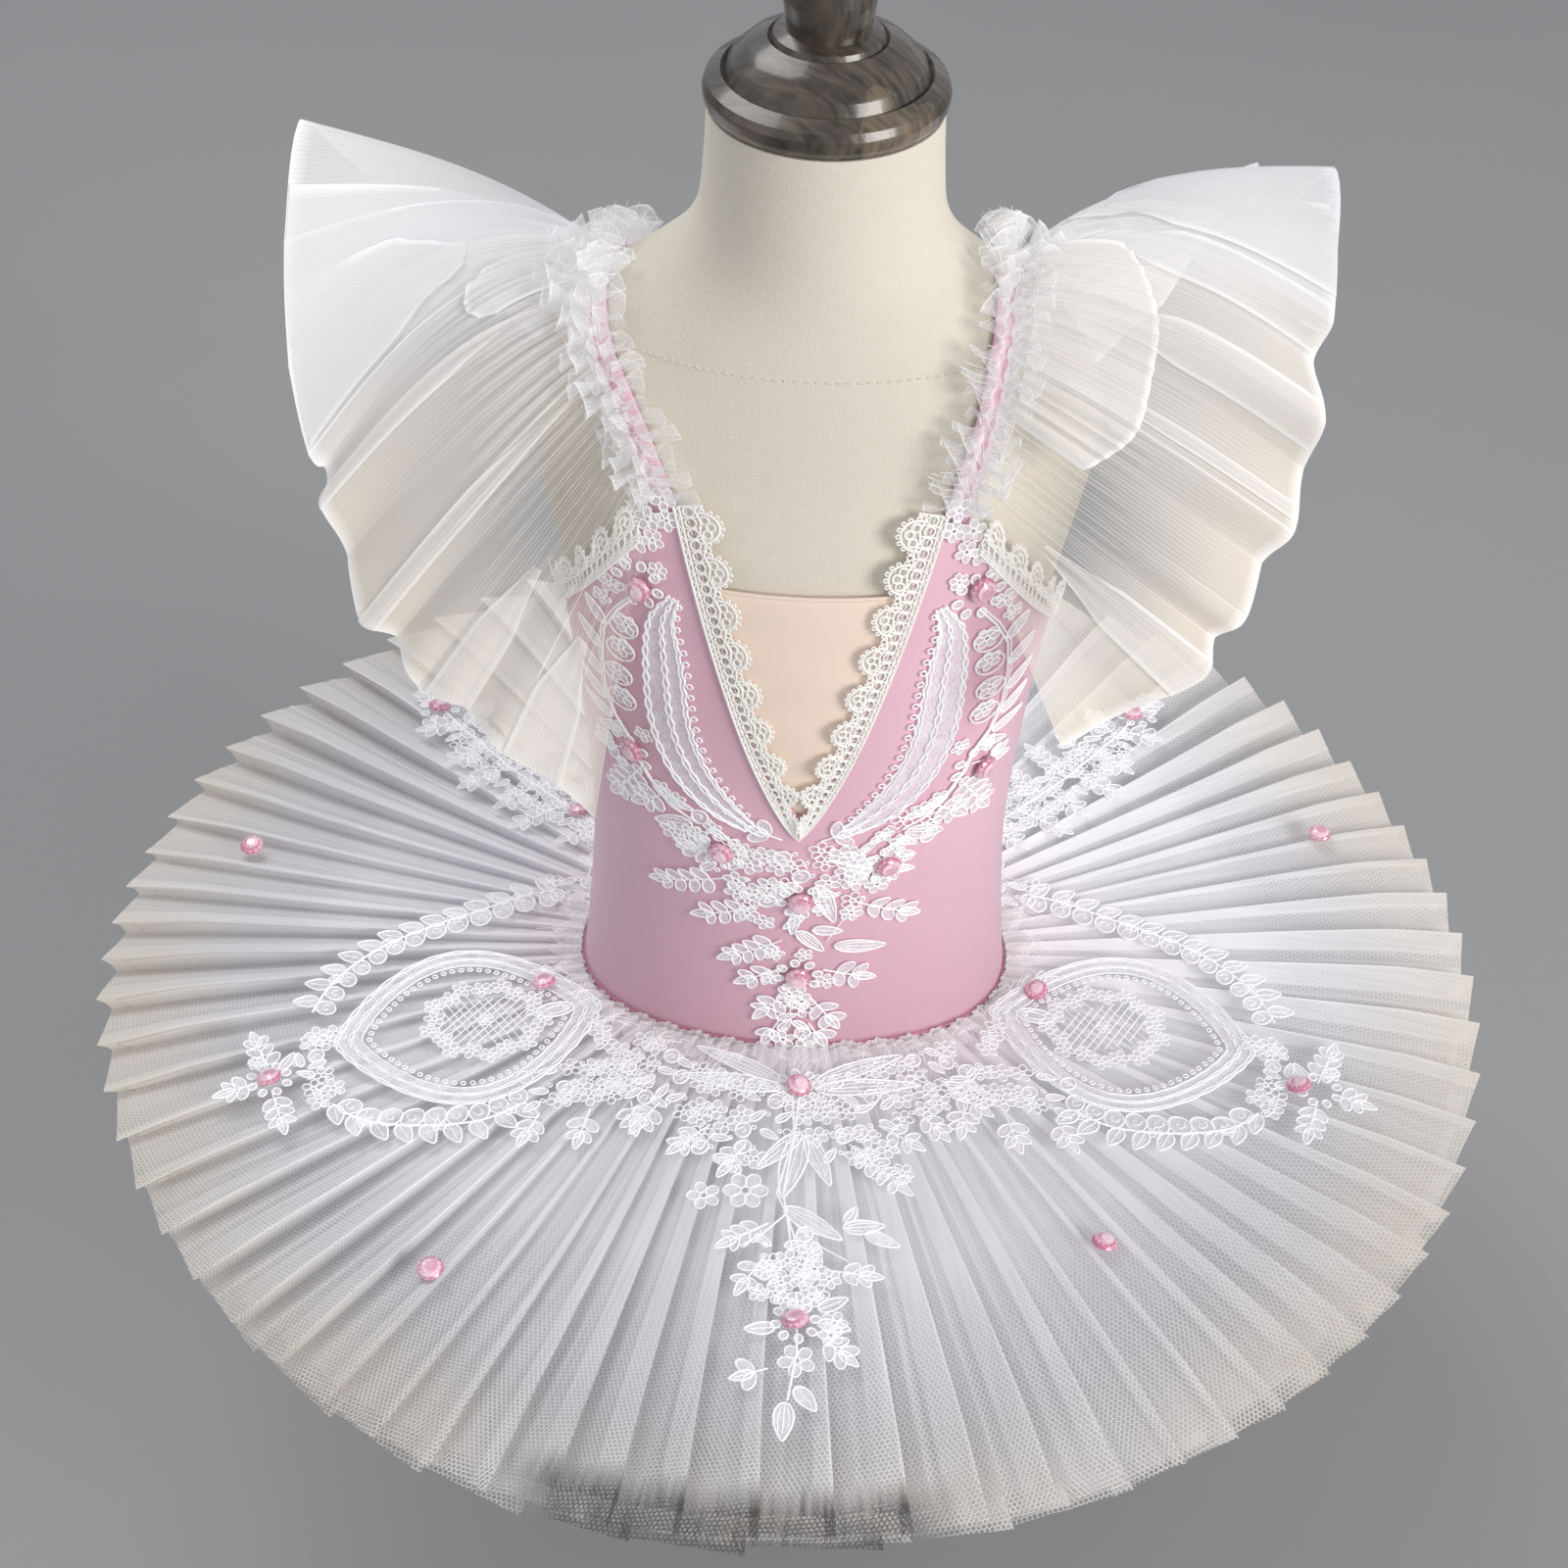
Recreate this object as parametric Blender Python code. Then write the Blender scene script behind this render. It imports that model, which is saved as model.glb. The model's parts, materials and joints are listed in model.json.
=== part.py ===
"""A child's ballet tutu standing on a limbless dress form.

Frame: +Z up, -Y is the front, +X is the right of someone who looks at the front.
The origin is the centre of the stand's underside. Sizes are in centimetres until
a mesh is made; CM turns them into metres.

An angle called `turn` runs round the body in degrees: 0 at the centre front,
90 at the +X side, 180 at the centre back.
"""
import math
from collections import namedtuple

import bmesh
import bpy
from mathutils import Vector

CM = 0.01

# ---------------------------------------------------------------- driving sizes, cm
RIM_Z = 30.0             # middle height of the skirt's rim above the floor
SKIRT_R = 30.5           # radius of the top skirt layer
SEAM = 0.03              # gap between two pieces at a seam
CLEAR = 0.12             # gap between the form and the cloth on it
SATIN = 0.20             # wall of the bodice and the brief
SATIN_OUT = CLEAR + SATIN
TRIM_IN = SATIN_OUT + 0.07      # lace and applique start here, off the form
TRIM = 0.12                     # wall of lace, applique, frill, wing and strap
TRIM_OUT = TRIM_IN + TRIM
GEM_GAP = 0.08
GEM_IN = TRIM_OUT + GEM_GAP

STRAP_W = 1.0
STRAP_FOOT_Z = 58.5      # where the front straps leave the bodice
V_POINT_Z = 45.6         # lowest point of the satin's V
V_HALF_W = 4.1           # half width of the V at the straps
V_CURVE = 0.75           # below 1 the V's edges bow outward
INSERT_TOP_Z = 55.9
ARMHOLE_TURN = 32.6      # where the armhole edge starts, at the strap
SIDE_TOP_Z = 51.4        # top of the side seams
BACK_LOW_Z = 47.5        # lowest point of the scooped back
BACK_STRAP_TURN = 142.0  # centre of a back strap's foot
BACK_STRAP_Z = 50.2

LACE_W = 1.9             # guipure lace trim
LACE_SCALLOP = 1.15      # length of one scallop
BRAID_LOW_Z = 44.4       # where the two lace braids meet
BRAID_TOP_Z = 58.8
BRAID_HALF_W = 5.0

FRILL_WAVES = 20         # on each strap
FRILL_REACH = 1.7

GEM_R = 0.55
GEM_H = 0.30

POLE_R = 1.2
FORM_LOW_Z = 19.5
NECK_TOP_Z = 72.4

# Cross sections of the form: height, half width, depth to the front, depth to the back
Section = namedtuple("Section", "z half_width front back")
SECTIONS = [
    Section(19.5, 4.6, 3.8, 4.0),
    Section(20.1, 6.6, 5.3, 5.8),
    Section(21.4, 8.2, 6.3, 7.2),
    Section(24.0, 9.4, 7.0, 8.3),
    Section(27.5, 9.4, 7.0, 8.2),
    Section(31.5, 9.0, 6.9, 7.3),
    Section(35.0, 8.7, 6.9, 6.7),
    Section(39.5, 8.5, 7.0, 6.3),
    Section(44.5, 8.8, 7.4, 6.5),
    Section(49.5, 9.3, 7.7, 6.9),
    Section(53.5, 9.9, 7.4, 7.2),
    Section(56.8, 10.6, 6.8, 7.1),
    Section(59.4, 11.0, 6.1, 6.8),
    Section(61.4, 10.8, 5.7, 6.4),
    Section(63.2, 9.9, 5.4, 6.0),
    Section(64.6, 8.5, 5.1, 5.6),
    Section(65.8, 6.8, 4.8, 5.2),
    Section(66.9, 5.4, 4.6, 4.9),
    Section(68.3, 4.6, 4.45, 4.6),
    Section(70.3, 4.35, 4.3, 4.4),
    Section(72.4, 4.25, 4.25, 4.25),
]
FORM_COLUMNS = 28

# Skirt layers from the top one down: name, knife pleats, radius, height of the inner edge
# below the join, height of the rim below RIM_Z, rise from fold to fold at the rim
Layer = namedtuple("Layer", "name pleats radius join_drop rim_drop rise")
LAYERS = [
    Layer("skirt_top", 72, SKIRT_R, 0.0, 0.0, 1.3),
    Layer("skirt_middle", 40, 29.8, 1.2, 1.8, 1.0),
    Layer("skirt_under", 30, 28.6, 2.4, 3.3, 1.0),
]
NET_WALL = 0.21          # measured straight down; across a steep fold it is half of this
PLEAT_FALL = 0.34        # share of a pleat taken by its steep side
SKIRT_ROWS = 4
LAYER_GAP = 0.18         # between the satin and a layer's inner edge
PLATE_GAP = 0.08         # between the top layer's highest folds and what lies on them
JOIN_FRONT_Z = 31.9
JOIN_SIDE_Z = 30.5
JOIN_BACK_Z = 30.7

# The wings' fold lines from the back round to the front: share of the strap's length
# where the fold starts, then its outer end (out from the middle, y, z)
Fold = namedtuple("Fold", "along out y z")
WING_LEFT = [
    Fold(0.12, 9.5, 10.5, 52.0),
    Fold(0.18, 12.5, 11.2, 55.8),
    Fold(0.24, 14.3, 9.0, 58.8),
    Fold(0.30, 17.0, 9.0, 62.4),
    Fold(0.36, 18.2, 6.6, 65.6),
    Fold(0.42, 19.7, 4.5, 68.6),
    Fold(0.50, 20.0, 1.0, 65.5),
    Fold(0.57, 19.7, -2.0, 62.0),
    Fold(0.62, 18.8, -4.3, 59.6),
    Fold(0.66, 17.5, -3.2, 59.0),
    Fold(0.70, 18.3, -5.2, 57.8),
    Fold(0.75, 17.0, -4.4, 55.8),
    Fold(0.79, 17.0, -6.6, 53.6),
    Fold(0.83, 15.2, -5.2, 53.2),
    Fold(0.87, 14.8, -7.6, 51.3),
    Fold(0.91, 12.6, -6.8, 50.8),
    Fold(0.95, 11.5, -9.0, 49.4),
    Fold(0.98, 9.4, -8.6, 48.2),
    Fold(1.00, 7.9, -9.8, 46.8),
]
WING_RIGHT = [
    Fold(0.12, 9.5, 10.5, 52.0),
    Fold(0.18, 12.5, 11.0, 56.0),
    Fold(0.24, 14.0, 8.8, 59.5),
    Fold(0.30, 15.8, 8.6, 63.8),
    Fold(0.36, 16.5, 6.2, 67.4),
    Fold(0.42, 16.9, 3.8, 66.6),
    Fold(0.48, 18.9, 3.0, 68.9),
    Fold(0.54, 18.9, 0.0, 67.0),
    Fold(0.59, 18.8, -1.8, 65.4),
    Fold(0.64, 17.5, -0.2, 63.6),
    Fold(0.69, 18.6, -4.5, 62.8),
    Fold(0.73, 17.8, -3.3, 60.6),
    Fold(0.78, 17.9, -5.6, 58.6),
    Fold(0.82, 16.3, -4.8, 57.6),
    Fold(0.87, 16.4, -7.2, 55.8),
    Fold(0.91, 14.7, -6.4, 55.0),
    Fold(0.95, 14.9, -8.6, 53.9),
    Fold(0.98, 12.4, -8.2, 52.4),
    Fold(1.00, 9.8, -9.4, 51.0),
]
WING_ROWS = 5
WING_LIFT = 0.7          # how far the net bows up between strap and hem

# A strap's middle line up the back, over the shoulder and down the front: out from the
# middle, height, and the side of the form it lies on (-1 front, 0 ridge, 1 back)
Stop = namedtuple("Stop", "out z side")
STRAP_BACK = [
    Stop(5.3, 50.5, 1),
    Stop(5.6, 53.8, 1),
    Stop(6.1, 57.2, 1),
    Stop(6.6, 60.2, 1),
    Stop(7.0, 62.9, 1),
]
STRAP_LEFT = STRAP_BACK + [
    Stop(8.1, None, 0),
    Stop(7.6, 63.5, -1),
    Stop(7.0, 62.5, -1),
    Stop(6.2, 60.8, -1),
    Stop(5.35, 58.56, -1),
]
STRAP_RIGHT = STRAP_BACK + [
    Stop(6.9, None, 0),
    Stop(6.7, 64.7, -1),
    Stop(6.5, 63.4, -1),
    Stop(6.1, 61.5, -1),
    Stop(5.35, 58.56, -1),
]
STRAP_STEPS = 22

# Applique plates. A station is a cut across the plate: the two coordinates of its middle
# (out and height on the bodice, x and y on the skirt) and the half width there
Station = namedtuple("Station", "a b half")
BODICE_SPRAY = [
    Station(0.0, 43.3, 4.2),
    Station(0.0, 42.4, 4.9),
    Station(0.0, 41.3, 4.2),
    Station(0.0, 40.2, 2.9),
    Station(0.0, 39.3, 3.9),
    Station(0.0, 38.3, 2.6),
    Station(0.0, 37.0, 2.5),
    Station(0.0, 35.8, 1.3),
    Station(0.0, 34.8, 1.6),
    Station(0.0, 33.6, 0.9),
    Station(0.0, 32.6, 0.5),
]
CRESCENT = [
    Station(4.75, 54.9, 0.25),
    Station(4.75, 53.4, 0.75),
    Station(4.45, 51.8, 1.05),
    Station(3.95, 50.2, 1.25),
    Station(3.55, 48.6, 1.30),
    Station(3.05, 47.2, 1.20),
    Station(2.55, 45.9, 0.95),
    Station(2.05, 44.8, 0.55),
]
SIDE_SPRIG = [
    Station(6.1, 55.4, 0.3),
    Station(6.5, 54.3, 0.9),
    Station(7.0, 53.1, 0.8),
    Station(7.4, 51.8, 1.0),
    Station(7.7, 50.4, 0.8),
    Station(7.6, 49.0, 1.0),
    Station(7.2, 47.6, 1.1),
    Station(6.7, 46.2, 1.1),
    Station(6.2, 45.0, 0.5),
]
SKIRT_SPRAY = [
    Station(0.0, -9.0, 4.0),
    Station(0.0, -10.6, 5.0),
    Station(0.0, -12.0, 4.2),
    Station(0.0, -13.4, 5.0),
    Station(0.1, -14.8, 3.2),
    Station(0.4, -16.3, 4.0),
    Station(0.7, -17.6, 2.3),
    Station(1.1, -19.0, 2.7),
    Station(1.1, -20.6, 1.4),
    Station(0.9, -22.2, 2.0),
    Station(0.5, -23.4, 1.2),
    Station(0.3, -24.6, 1.8),
    Station(0.1, -25.8, 0.9),
    Station(0.0, -26.8, 0.2),
]
PANEL_INNER = (8.3, -5.0)        # the pointed-oval skirt panels: their two points
PANEL_OUTER = (19.8, -6.7)
PANEL_HALF = 4.9                 # half width at the widest cut
PANEL_CUTS = 10
RIGHT_SHIFT = 4.5        # degrees that the right skirt applique sits further round
BACK_SPRAY = [
    Station(9.2, 7.4, 1.4),
    Station(10.8, 8.6, 2.4),
    Station(12.4, 9.9, 1.8),
    Station(13.8, 11.2, 2.5),
    Station(15.2, 12.6, 1.5),
    Station(16.6, 14.2, 2.2),
    Station(17.8, 15.6, 1.2),
    Station(18.9, 17.0, 0.4),
]
OUTER_SPRIG = [
    Station(20.4, -8.9, 0.3),
    Station(21.4, -9.2, 1.6),
    Station(22.4, -9.4, 2.1),
    Station(23.3, -9.7, 1.2),
    Station(24.0, -10.0, 0.3),
]

# Cut stones on the bodice: x and height
BODICE_GEMS = {
    "chest_left": (-6.15, 55.2),
    "chest_right": (6.35, 55.7),
    "waist_left": (-6.4, 47.0),
    "waist_right": (7.0, 46.2),
    "spray_left": (-2.95, 43.1),
    "spray_right": (3.5, 42.5),
    "upper": (0.2, 40.7),
    "lower": (0.2, 36.2),
}
# Cut stones on the skirt: x, y, and whether an applique plate lies under the stone
SkirtGem = namedtuple("SkirtGem", "x y on_plate")
SKIRT_GEMS = {
    "join": SkirtGem(0.4, -9.8, True),
    "tip": SkirtGem(0.6, -21.6, True),
    "field_left": SkirtGem(-14.0, -19.4, False),
    "field_right": SkirtGem(13.0, -16.8, False),
    "panel_left": SkirtGem(-11.0, -3.2, True),
    "panel_right": SkirtGem(10.8, -2.5, True),
    "sprig_left": SkirtGem(-22.1, -9.5, True),
    "sprig_right": SkirtGem(21.9, -7.6, True),
    "side_left": SkirtGem(-25.4, 5.3, False),
    "side_right": SkirtGem(24.7, 9.0, False),
    "back_left": SkirtGem(-17.9, 15.7, True),
    "back_right": SkirtGem(16.3, 17.2, True),
    "waist_left": SkirtGem(-10.4, 8.4, True),
}

# Turned wood: radius and height of each point of the profile, from the axis outward
CAP_PROFILE = [
    (4.20, 72.43), (4.38, 72.75), (4.42, 73.1), (4.30, 73.45), (3.78, 73.75),
    (3.66, 73.62), (3.60, 73.75), (3.45, 74.15), (2.90, 74.65), (2.15, 75.0),
    (2.06, 74.9), (1.95, 75.15), (1.50, 75.3),
    (1.58, 75.9), (1.66, 76.5), (1.52, 77.3), (1.02, 78.3), (0.95, 78.7),
    (1.20, 79.3), (1.10, 79.9), (0.55, 80.3),
]
BASE_PROFILE = [
    (9.7, 0.0), (10.0, 0.3), (10.0, 1.1), (9.5, 1.7), (6.0, 2.0), (3.0, 2.4), (2.3, 3.2),
    (1.9, 4.0),
]
TURNED_COLUMNS = 22


# ---------------------------------------------------------------- small tools

def spline(rows, value, column, key="z"):
    """Smooth value of a table's column where its key column has the given value."""
    keys = [getattr(row, key) for row in rows]
    ys = [getattr(row, column) for row in rows]
    value = min(max(value, keys[0]), keys[-1])
    i = max(k for k in range(len(keys) - 1) if keys[k] <= value)
    step = keys[i + 1] - keys[i]
    share = (value - keys[i]) / step

    def slope(k):
        low, high = max(k - 1, 0), min(k + 1, len(keys) - 1)
        return (ys[high] - ys[low]) / (keys[high] - keys[low])

    s2, s3 = share ** 2, share ** 3
    return ((2 * s3 - 3 * s2 + 1) * ys[i] + (s3 - 2 * s2 + share) * step * slope(i)
            + (3 * s2 - 2 * s3) * ys[i + 1] + (s3 - s2) * step * slope(i + 1))


def mix(a, b, share):
    return a + (b - a) * share


def uneven(k, seed):
    """A repeatable irregular number from -1 to 1."""
    return math.sin(12.9898 * k + 78.233 * seed)


def material(name, colour, roughness, metallic=0.0, alpha=1.0):
    mat = bpy.data.materials.new(name)
    mat.use_nodes = True
    shader = mat.node_tree.nodes["Principled BSDF"]
    shader.inputs["Base Color"].default_value = (*colour, 1.0)
    shader.inputs["Roughness"].default_value = roughness
    shader.inputs["Metallic"].default_value = metallic
    shader.inputs["Alpha"].default_value = alpha
    return mat


def add_object(name, bm, mat, sharp=40.0):
    bmesh.ops.recalc_face_normals(bm, faces=bm.faces)
    bmesh.ops.triangulate(bm, faces=bm.faces)
    mesh = bpy.data.meshes.new(name)
    bm.to_mesh(mesh)
    bm.free()
    mesh.shade_smooth()
    mesh.set_sharp_from_angle(angle=math.radians(sharp))
    mesh.materials.append(mat)
    obj = bpy.data.objects.new(name, mesh)
    bpy.context.scene.collection.objects.link(obj)
    return obj


def wall(name, outer, inner, mat, closed=False, sharp=40.0):
    """A closed wall between two sheets of points, columns first.

    A closed wall joins its last column to its first, as a tube or a ring does.
    """
    bm = bmesh.new()
    skins = [[[bm.verts.new(Vector(p) * CM) for p in column] for column in sheet]
             for sheet in (outer, inner)]
    columns, rows = len(outer), len(outer[0])
    pairs = [(c, (c + 1) % columns) for c in range(columns if closed else columns - 1)]
    for c, d in pairs:
        for r in range(rows - 1):
            for skin in skins:
                bm.faces.new((skin[c][r], skin[d][r], skin[d][r + 1], skin[c][r + 1]))
        for r in (0, rows - 1):
            bm.faces.new((skins[0][c][r], skins[0][d][r], skins[1][d][r], skins[1][c][r]))
    if not closed:
        for c in (0, columns - 1):
            for r in range(rows - 1):
                bm.faces.new((skins[0][c][r], skins[0][c][r + 1],
                              skins[1][c][r + 1], skins[1][c][r]))
    return add_object(name, bm, mat, sharp)


def turned(name, profile, mat, columns=TURNED_COLUMNS, sharp=30.0):
    """A solid of revolution about the Z axis, closed flat at both ends."""
    bm = bmesh.new()
    rings = []
    for radius, z in profile:
        ring = bmesh.ops.create_circle(bm, segments=columns, radius=radius * CM)["verts"]
        bmesh.ops.translate(bm, verts=ring, vec=(0, 0, z * CM))
        rings.append(ring)
    for low, high in zip(rings, rings[1:]):
        for c in range(columns):
            d = (c + 1) % columns
            bm.faces.new((low[c], low[d], high[d], high[c]))
    bm.faces.new(rings[0])
    bm.faces.new(rings[-1])
    return add_object(name, bm, mat, sharp)


# ---------------------------------------------------------------- the form's surface

def half_width(z):
    return spline(SECTIONS, z, "half_width")


def depth(z, y):
    return spline(SECTIONS, z, "front" if y <= 0 else "back")


def form_normal(p):
    """Outward direction of the form's surface at a point on it."""
    step = 0.05
    a, b = half_width(p.z), depth(p.z, p.y)

    def level(z):
        return (p.x / half_width(z)) ** 2 + (p.y / depth(z, p.y)) ** 2

    rise = (level(p.z + step) - level(p.z - step)) / (2 * step)
    return Vector((2 * p.x / a ** 2, 2 * p.y / b ** 2, rise)).normalized()


def to_form(p):
    """The nearby point on the form's surface."""
    step = 0.05
    for _ in range(4):
        a, b = half_width(p.z), depth(p.z, p.y)

        def level(z):
            return (p.x / half_width(z)) ** 2 + (p.y / depth(z, p.y)) ** 2 - 1

        rise = (level(p.z + step) - level(p.z - step)) / (2 * step)
        uphill = Vector((2 * p.x / a ** 2, 2 * p.y / b ** 2, rise))
        p = p - uphill * level(p.z) / uphill.length_squared
    return p


def on_form(turn, z, out=0.0):
    """Point on the form at this turn and height, moved out along the surface normal."""
    angle = math.radians(turn)
    y = -math.cos(angle)
    p = Vector((half_width(z) * math.sin(angle), y * depth(z, y), z))
    return p + form_normal(p) * out if out else p


def on_form_at(x, z, out=0.0, back=False):
    """Point on the form's front (or back) at this x and height, moved out."""
    share = max(-1.0, min(1.0, x / half_width(z)))
    turn = math.degrees(math.asin(share))
    return on_form(180.0 - turn if back else turn, z, out)


def shoulder_height(out):
    """Height at which the form is as wide as this, above its widest section."""
    low, high = 61.4, NECK_TOP_Z
    for _ in range(40):
        middle = (low + high) / 2
        if half_width(middle) > out:
            low = middle
        else:
            high = middle
    return low


# ---------------------------------------------------------------- form and stand

def dress_form(linen):
    bm = bmesh.new()
    rings = []
    for section in SECTIONS:
        turns = [360.0 * c / FORM_COLUMNS for c in range(FORM_COLUMNS)]
        rings.append([bm.verts.new(on_form(turn, section.z) * CM) for turn in turns])
    for low, high in zip(rings, rings[1:]):
        for c in range(FORM_COLUMNS):
            d = (c + 1) % FORM_COLUMNS
            bm.faces.new((low[c], low[d], high[d], high[c]))
    bm.faces.new(rings[0])
    bm.faces.new(rings[-1])
    add_object("form_body", bm, linen, 60.0)


def stand(wood):
    turned("form_cap", CAP_PROFILE, wood)
    turned("stand_base", BASE_PROFILE, wood, 32)
    top = BASE_PROFILE[-1][1] + SEAM
    turned("stand_pole", [(POLE_R, top), (POLE_R, FORM_LOW_Z - SEAM)], wood, 16)


# ---------------------------------------------------------------- bodice and brief

def join_height(turn):
    """Height of the seam between bodice and skirt."""
    share = (1 + math.cos(math.radians(turn))) / 2
    if share >= 0.5:
        return mix(JOIN_SIDE_Z, JOIN_FRONT_Z, (2 * share - 1) ** 2)
    return mix(JOIN_SIDE_Z, JOIN_BACK_Z, (1 - 2 * share) ** 2)


def v_edge(z):
    """Half width of the satin's V at this height."""
    return V_HALF_W * ((z - V_POINT_Z) / (STRAP_FOOT_Z - V_POINT_Z)) ** V_CURVE


V_HEIGHTS = [46.8, 48.5, 50.3, 52.2, 54.1, INSERT_TOP_Z, STRAP_FOOT_Z]


def front_columns():
    """Turn and top height of each column of half the bodice front, centre first."""
    columns = [(0.0, V_POINT_Z)]
    for z in V_HEIGHTS:
        columns.append((math.degrees(math.asin(v_edge(z) / half_width(z))), z))
    columns.append((ARMHOLE_TURN, STRAP_FOOT_Z - 0.2))
    steps = 7
    for k in range(1, steps + 1):
        share = k / steps
        turn = mix(ARMHOLE_TURN, 89.9, share)
        columns.append((turn, mix(SIDE_TOP_Z, STRAP_FOOT_Z - 0.2, (1 - share) ** 1.5)))
    return columns


def back_top(turn):
    """Top edge of the back: up at the side seams and the straps, scooped between."""
    away = 180.0 - abs(turn)
    strap_away = 180.0 - BACK_STRAP_TURN
    if away <= strap_away:
        return mix(BACK_LOW_Z, BACK_STRAP_Z, (away / strap_away) ** 2)
    share = (away - strap_away) / (90.0 - strap_away)
    return mix(BACK_STRAP_Z, SIDE_TOP_Z, share ** 2)


def panel(name, columns, bottom, rows, mat):
    """A satin panel on the form between a bottom edge and each column's top height."""
    outer, inner = [], []
    for turn, top in columns:
        low = bottom(turn)
        heights = [mix(low, top, r / rows) for r in range(rows + 1)]
        outer.append([on_form(turn, z, SATIN_OUT) for z in heights])
        inner.append([on_form(turn, z, CLEAR) for z in heights])
    return wall(name, outer, inner, mat)


def bodice(satin, nude):
    half = front_columns()
    columns = [(-turn, top) for turn, top in reversed(half[1:])] + half
    panel("bodice_front", columns, join_height, 10, satin)

    turns = [mix(90.1, 269.9, k / 22) for k in range(23)]
    columns = [(turn, back_top(turn if turn <= 180 else 360 - turn)) for turn in turns]
    panel("bodice_back", columns, join_height, 6, satin)

    outer, inner = [], []
    across = 6
    heights = [z for z in V_HEIGHTS if z <= INSERT_TOP_Z]
    for c in range(across + 1):
        share = mix(-1.0, 1.0, c / across)
        xs = [share * (v_edge(z) - SEAM) for z in heights]
        outer.append([on_form_at(x, z, SATIN_OUT) for x, z in zip(xs, heights)])
        inner.append([on_form_at(x, z, CLEAR) for x, z in zip(xs, heights)])
    wall("insert_panel", outer, inner, nude)


BRIEF_SIDE_Z = 25.6      # top of the leg openings at the side seams
BRIEF_LOW_Z = 19.75      # the gusset's ends, beside the pole


def brief(satin):
    """Two plain panels under the skirt, cut away at the legs."""
    for name, middle in (("brief_front", 0.0), ("brief_back", 180.0)):
        outer, inner = [], []
        steps = 20
        for k in range(steps + 1):
            away = mix(-89.8, 89.8, k / steps)
            turn = middle + away
            leg = mix(BRIEF_LOW_Z, BRIEF_SIDE_Z, math.sin(math.radians(abs(away))) ** 1.5)
            top = join_height(turn) - SEAM
            heights = [mix(leg, top, (r / 6) ** 1.8) for r in range(7)]
            outer.append([on_form(turn, z, SATIN_OUT) for z in heights])
            inner.append([on_form(turn, z, CLEAR) for z in heights])
        wall(name, outer, inner, satin)


# ---------------------------------------------------------------- lace

def neck_lace(name, side, lace):
    """Scalloped lace down one edge of the V: straight braid outside, scallops inside."""
    length = BRAID_TOP_Z - BRAID_LOW_Z
    cuts = 2 * round(length / LACE_SCALLOP)
    outer, inner = [], []
    for k in range(1, cuts + 1):
        z = BRAID_LOW_Z + length * k / cuts
        braid = BRAID_HALF_W * (k / cuts) ** V_CURVE
        width = LACE_W * (1.0 if k % 2 else 0.8)
        inside = max(braid - width, SEAM / 2)
        xs = [side * inside, side * mix(inside, braid, 0.5), side * braid]
        outer.append([on_form_at(x, z, TRIM_OUT) for x in xs])
        inner.append([on_form_at(x, z, TRIM_IN) for x in xs])
    wall(name, outer, inner, lace)


def side_lace(name, side, lace):
    """Scalloped lace along the armhole edge: braid below, scallops above."""
    cuts = 16
    outer, inner = [], []
    for k in range(cuts + 1):
        share = k / cuts
        turn = mix(ARMHOLE_TURN + 2.5, 88.0, share)
        edge = mix(SIDE_TOP_Z, STRAP_FOOT_Z - 0.2, (1 - share) ** 1.5)
        high = 1.25 if k % 2 else 0.8
        zs = [edge - 0.75, edge + 0.2, edge + high]
        outer.append([on_form(side * turn, z, TRIM_OUT) for z in zs])
        inner.append([on_form(side * turn, z, TRIM_IN) for z in zs])
    wall(name, outer, inner, lace)


# ---------------------------------------------------------------- straps, frills, wings

def strap_points(side, line):
    """Middle line of a strap on the form's surface, evenly spaced, back to front."""
    stops = []
    for stop in line:
        if stop.side == 0:
            stops.append(Vector((side * stop.out, 0.0, shoulder_height(stop.out))))
        else:
            stops.append(on_form_at(side * stop.out, stop.z, back=stop.side > 0))
    fine = []
    for i in range(len(stops) - 1):
        before = stops[max(i - 1, 0)]
        after = stops[min(i + 2, len(stops) - 1)]
        for k in range(12):
            s = k / 12
            start, end = stops[i], stops[i + 1]
            fine.append(0.5 * (2 * start + (end - before) * s
                               + (2 * before - 5 * start + 4 * end - after) * s ** 2
                               + (3 * start - before - 3 * end + after) * s ** 3))
    fine.append(stops[-1])
    fine = [to_form(p) for p in fine]
    reach = [0.0]
    for p, q in zip(fine, fine[1:]):
        reach.append(reach[-1] + (q - p).length)

    def at(share):
        want = share * reach[-1]
        i = max(k for k in range(len(reach) - 1) if reach[k] <= want)
        part = (want - reach[i]) / (reach[i + 1] - reach[i])
        return fine[i].lerp(fine[i + 1], part)

    return at


def strap_frame(side, line):
    """Returns a function of share: point, outward normal and direction to the arm."""
    at = strap_points(side, line)

    def frame(share):
        p = at(share)
        along = (at(min(share + 0.01, 1.0)) - at(max(share - 0.01, 0.0))).normalized()
        p.z = min(p.z, NECK_TOP_Z)
        normal = form_normal(p)
        arm = along.cross(normal).normalized()
        if arm.x * side < 0:
            arm.negate()
        return p, normal, arm

    return frame


def strap(name, frame, satin):
    outer, inner = [], []
    for k in range(STRAP_STEPS + 1):
        p, normal, arm = frame(k / STRAP_STEPS)
        edges = [p - arm * STRAP_W / 2, p, p + arm * STRAP_W / 2]
        outer.append([q + normal * (CLEAR + TRIM + 0.06) for q in edges])
        inner.append([q + normal * (CLEAR + 0.06) for q in edges])
    wall(name, outer, inner, satin)


def sheet_normals(sheet):
    """Unit normals of a sheet of points, one for each point."""
    columns, rows = len(sheet), len(sheet[0])
    normals = []
    for c in range(columns):
        line = []
        for r in range(rows):
            across = sheet[min(c + 1, columns - 1)][r] - sheet[max(c - 1, 0)][r]
            down = sheet[c][min(r + 1, rows - 1)] - sheet[c][max(r - 1, 0)]
            line.append(across.cross(down).normalized())
        normals.append(line)
    return normals


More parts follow.
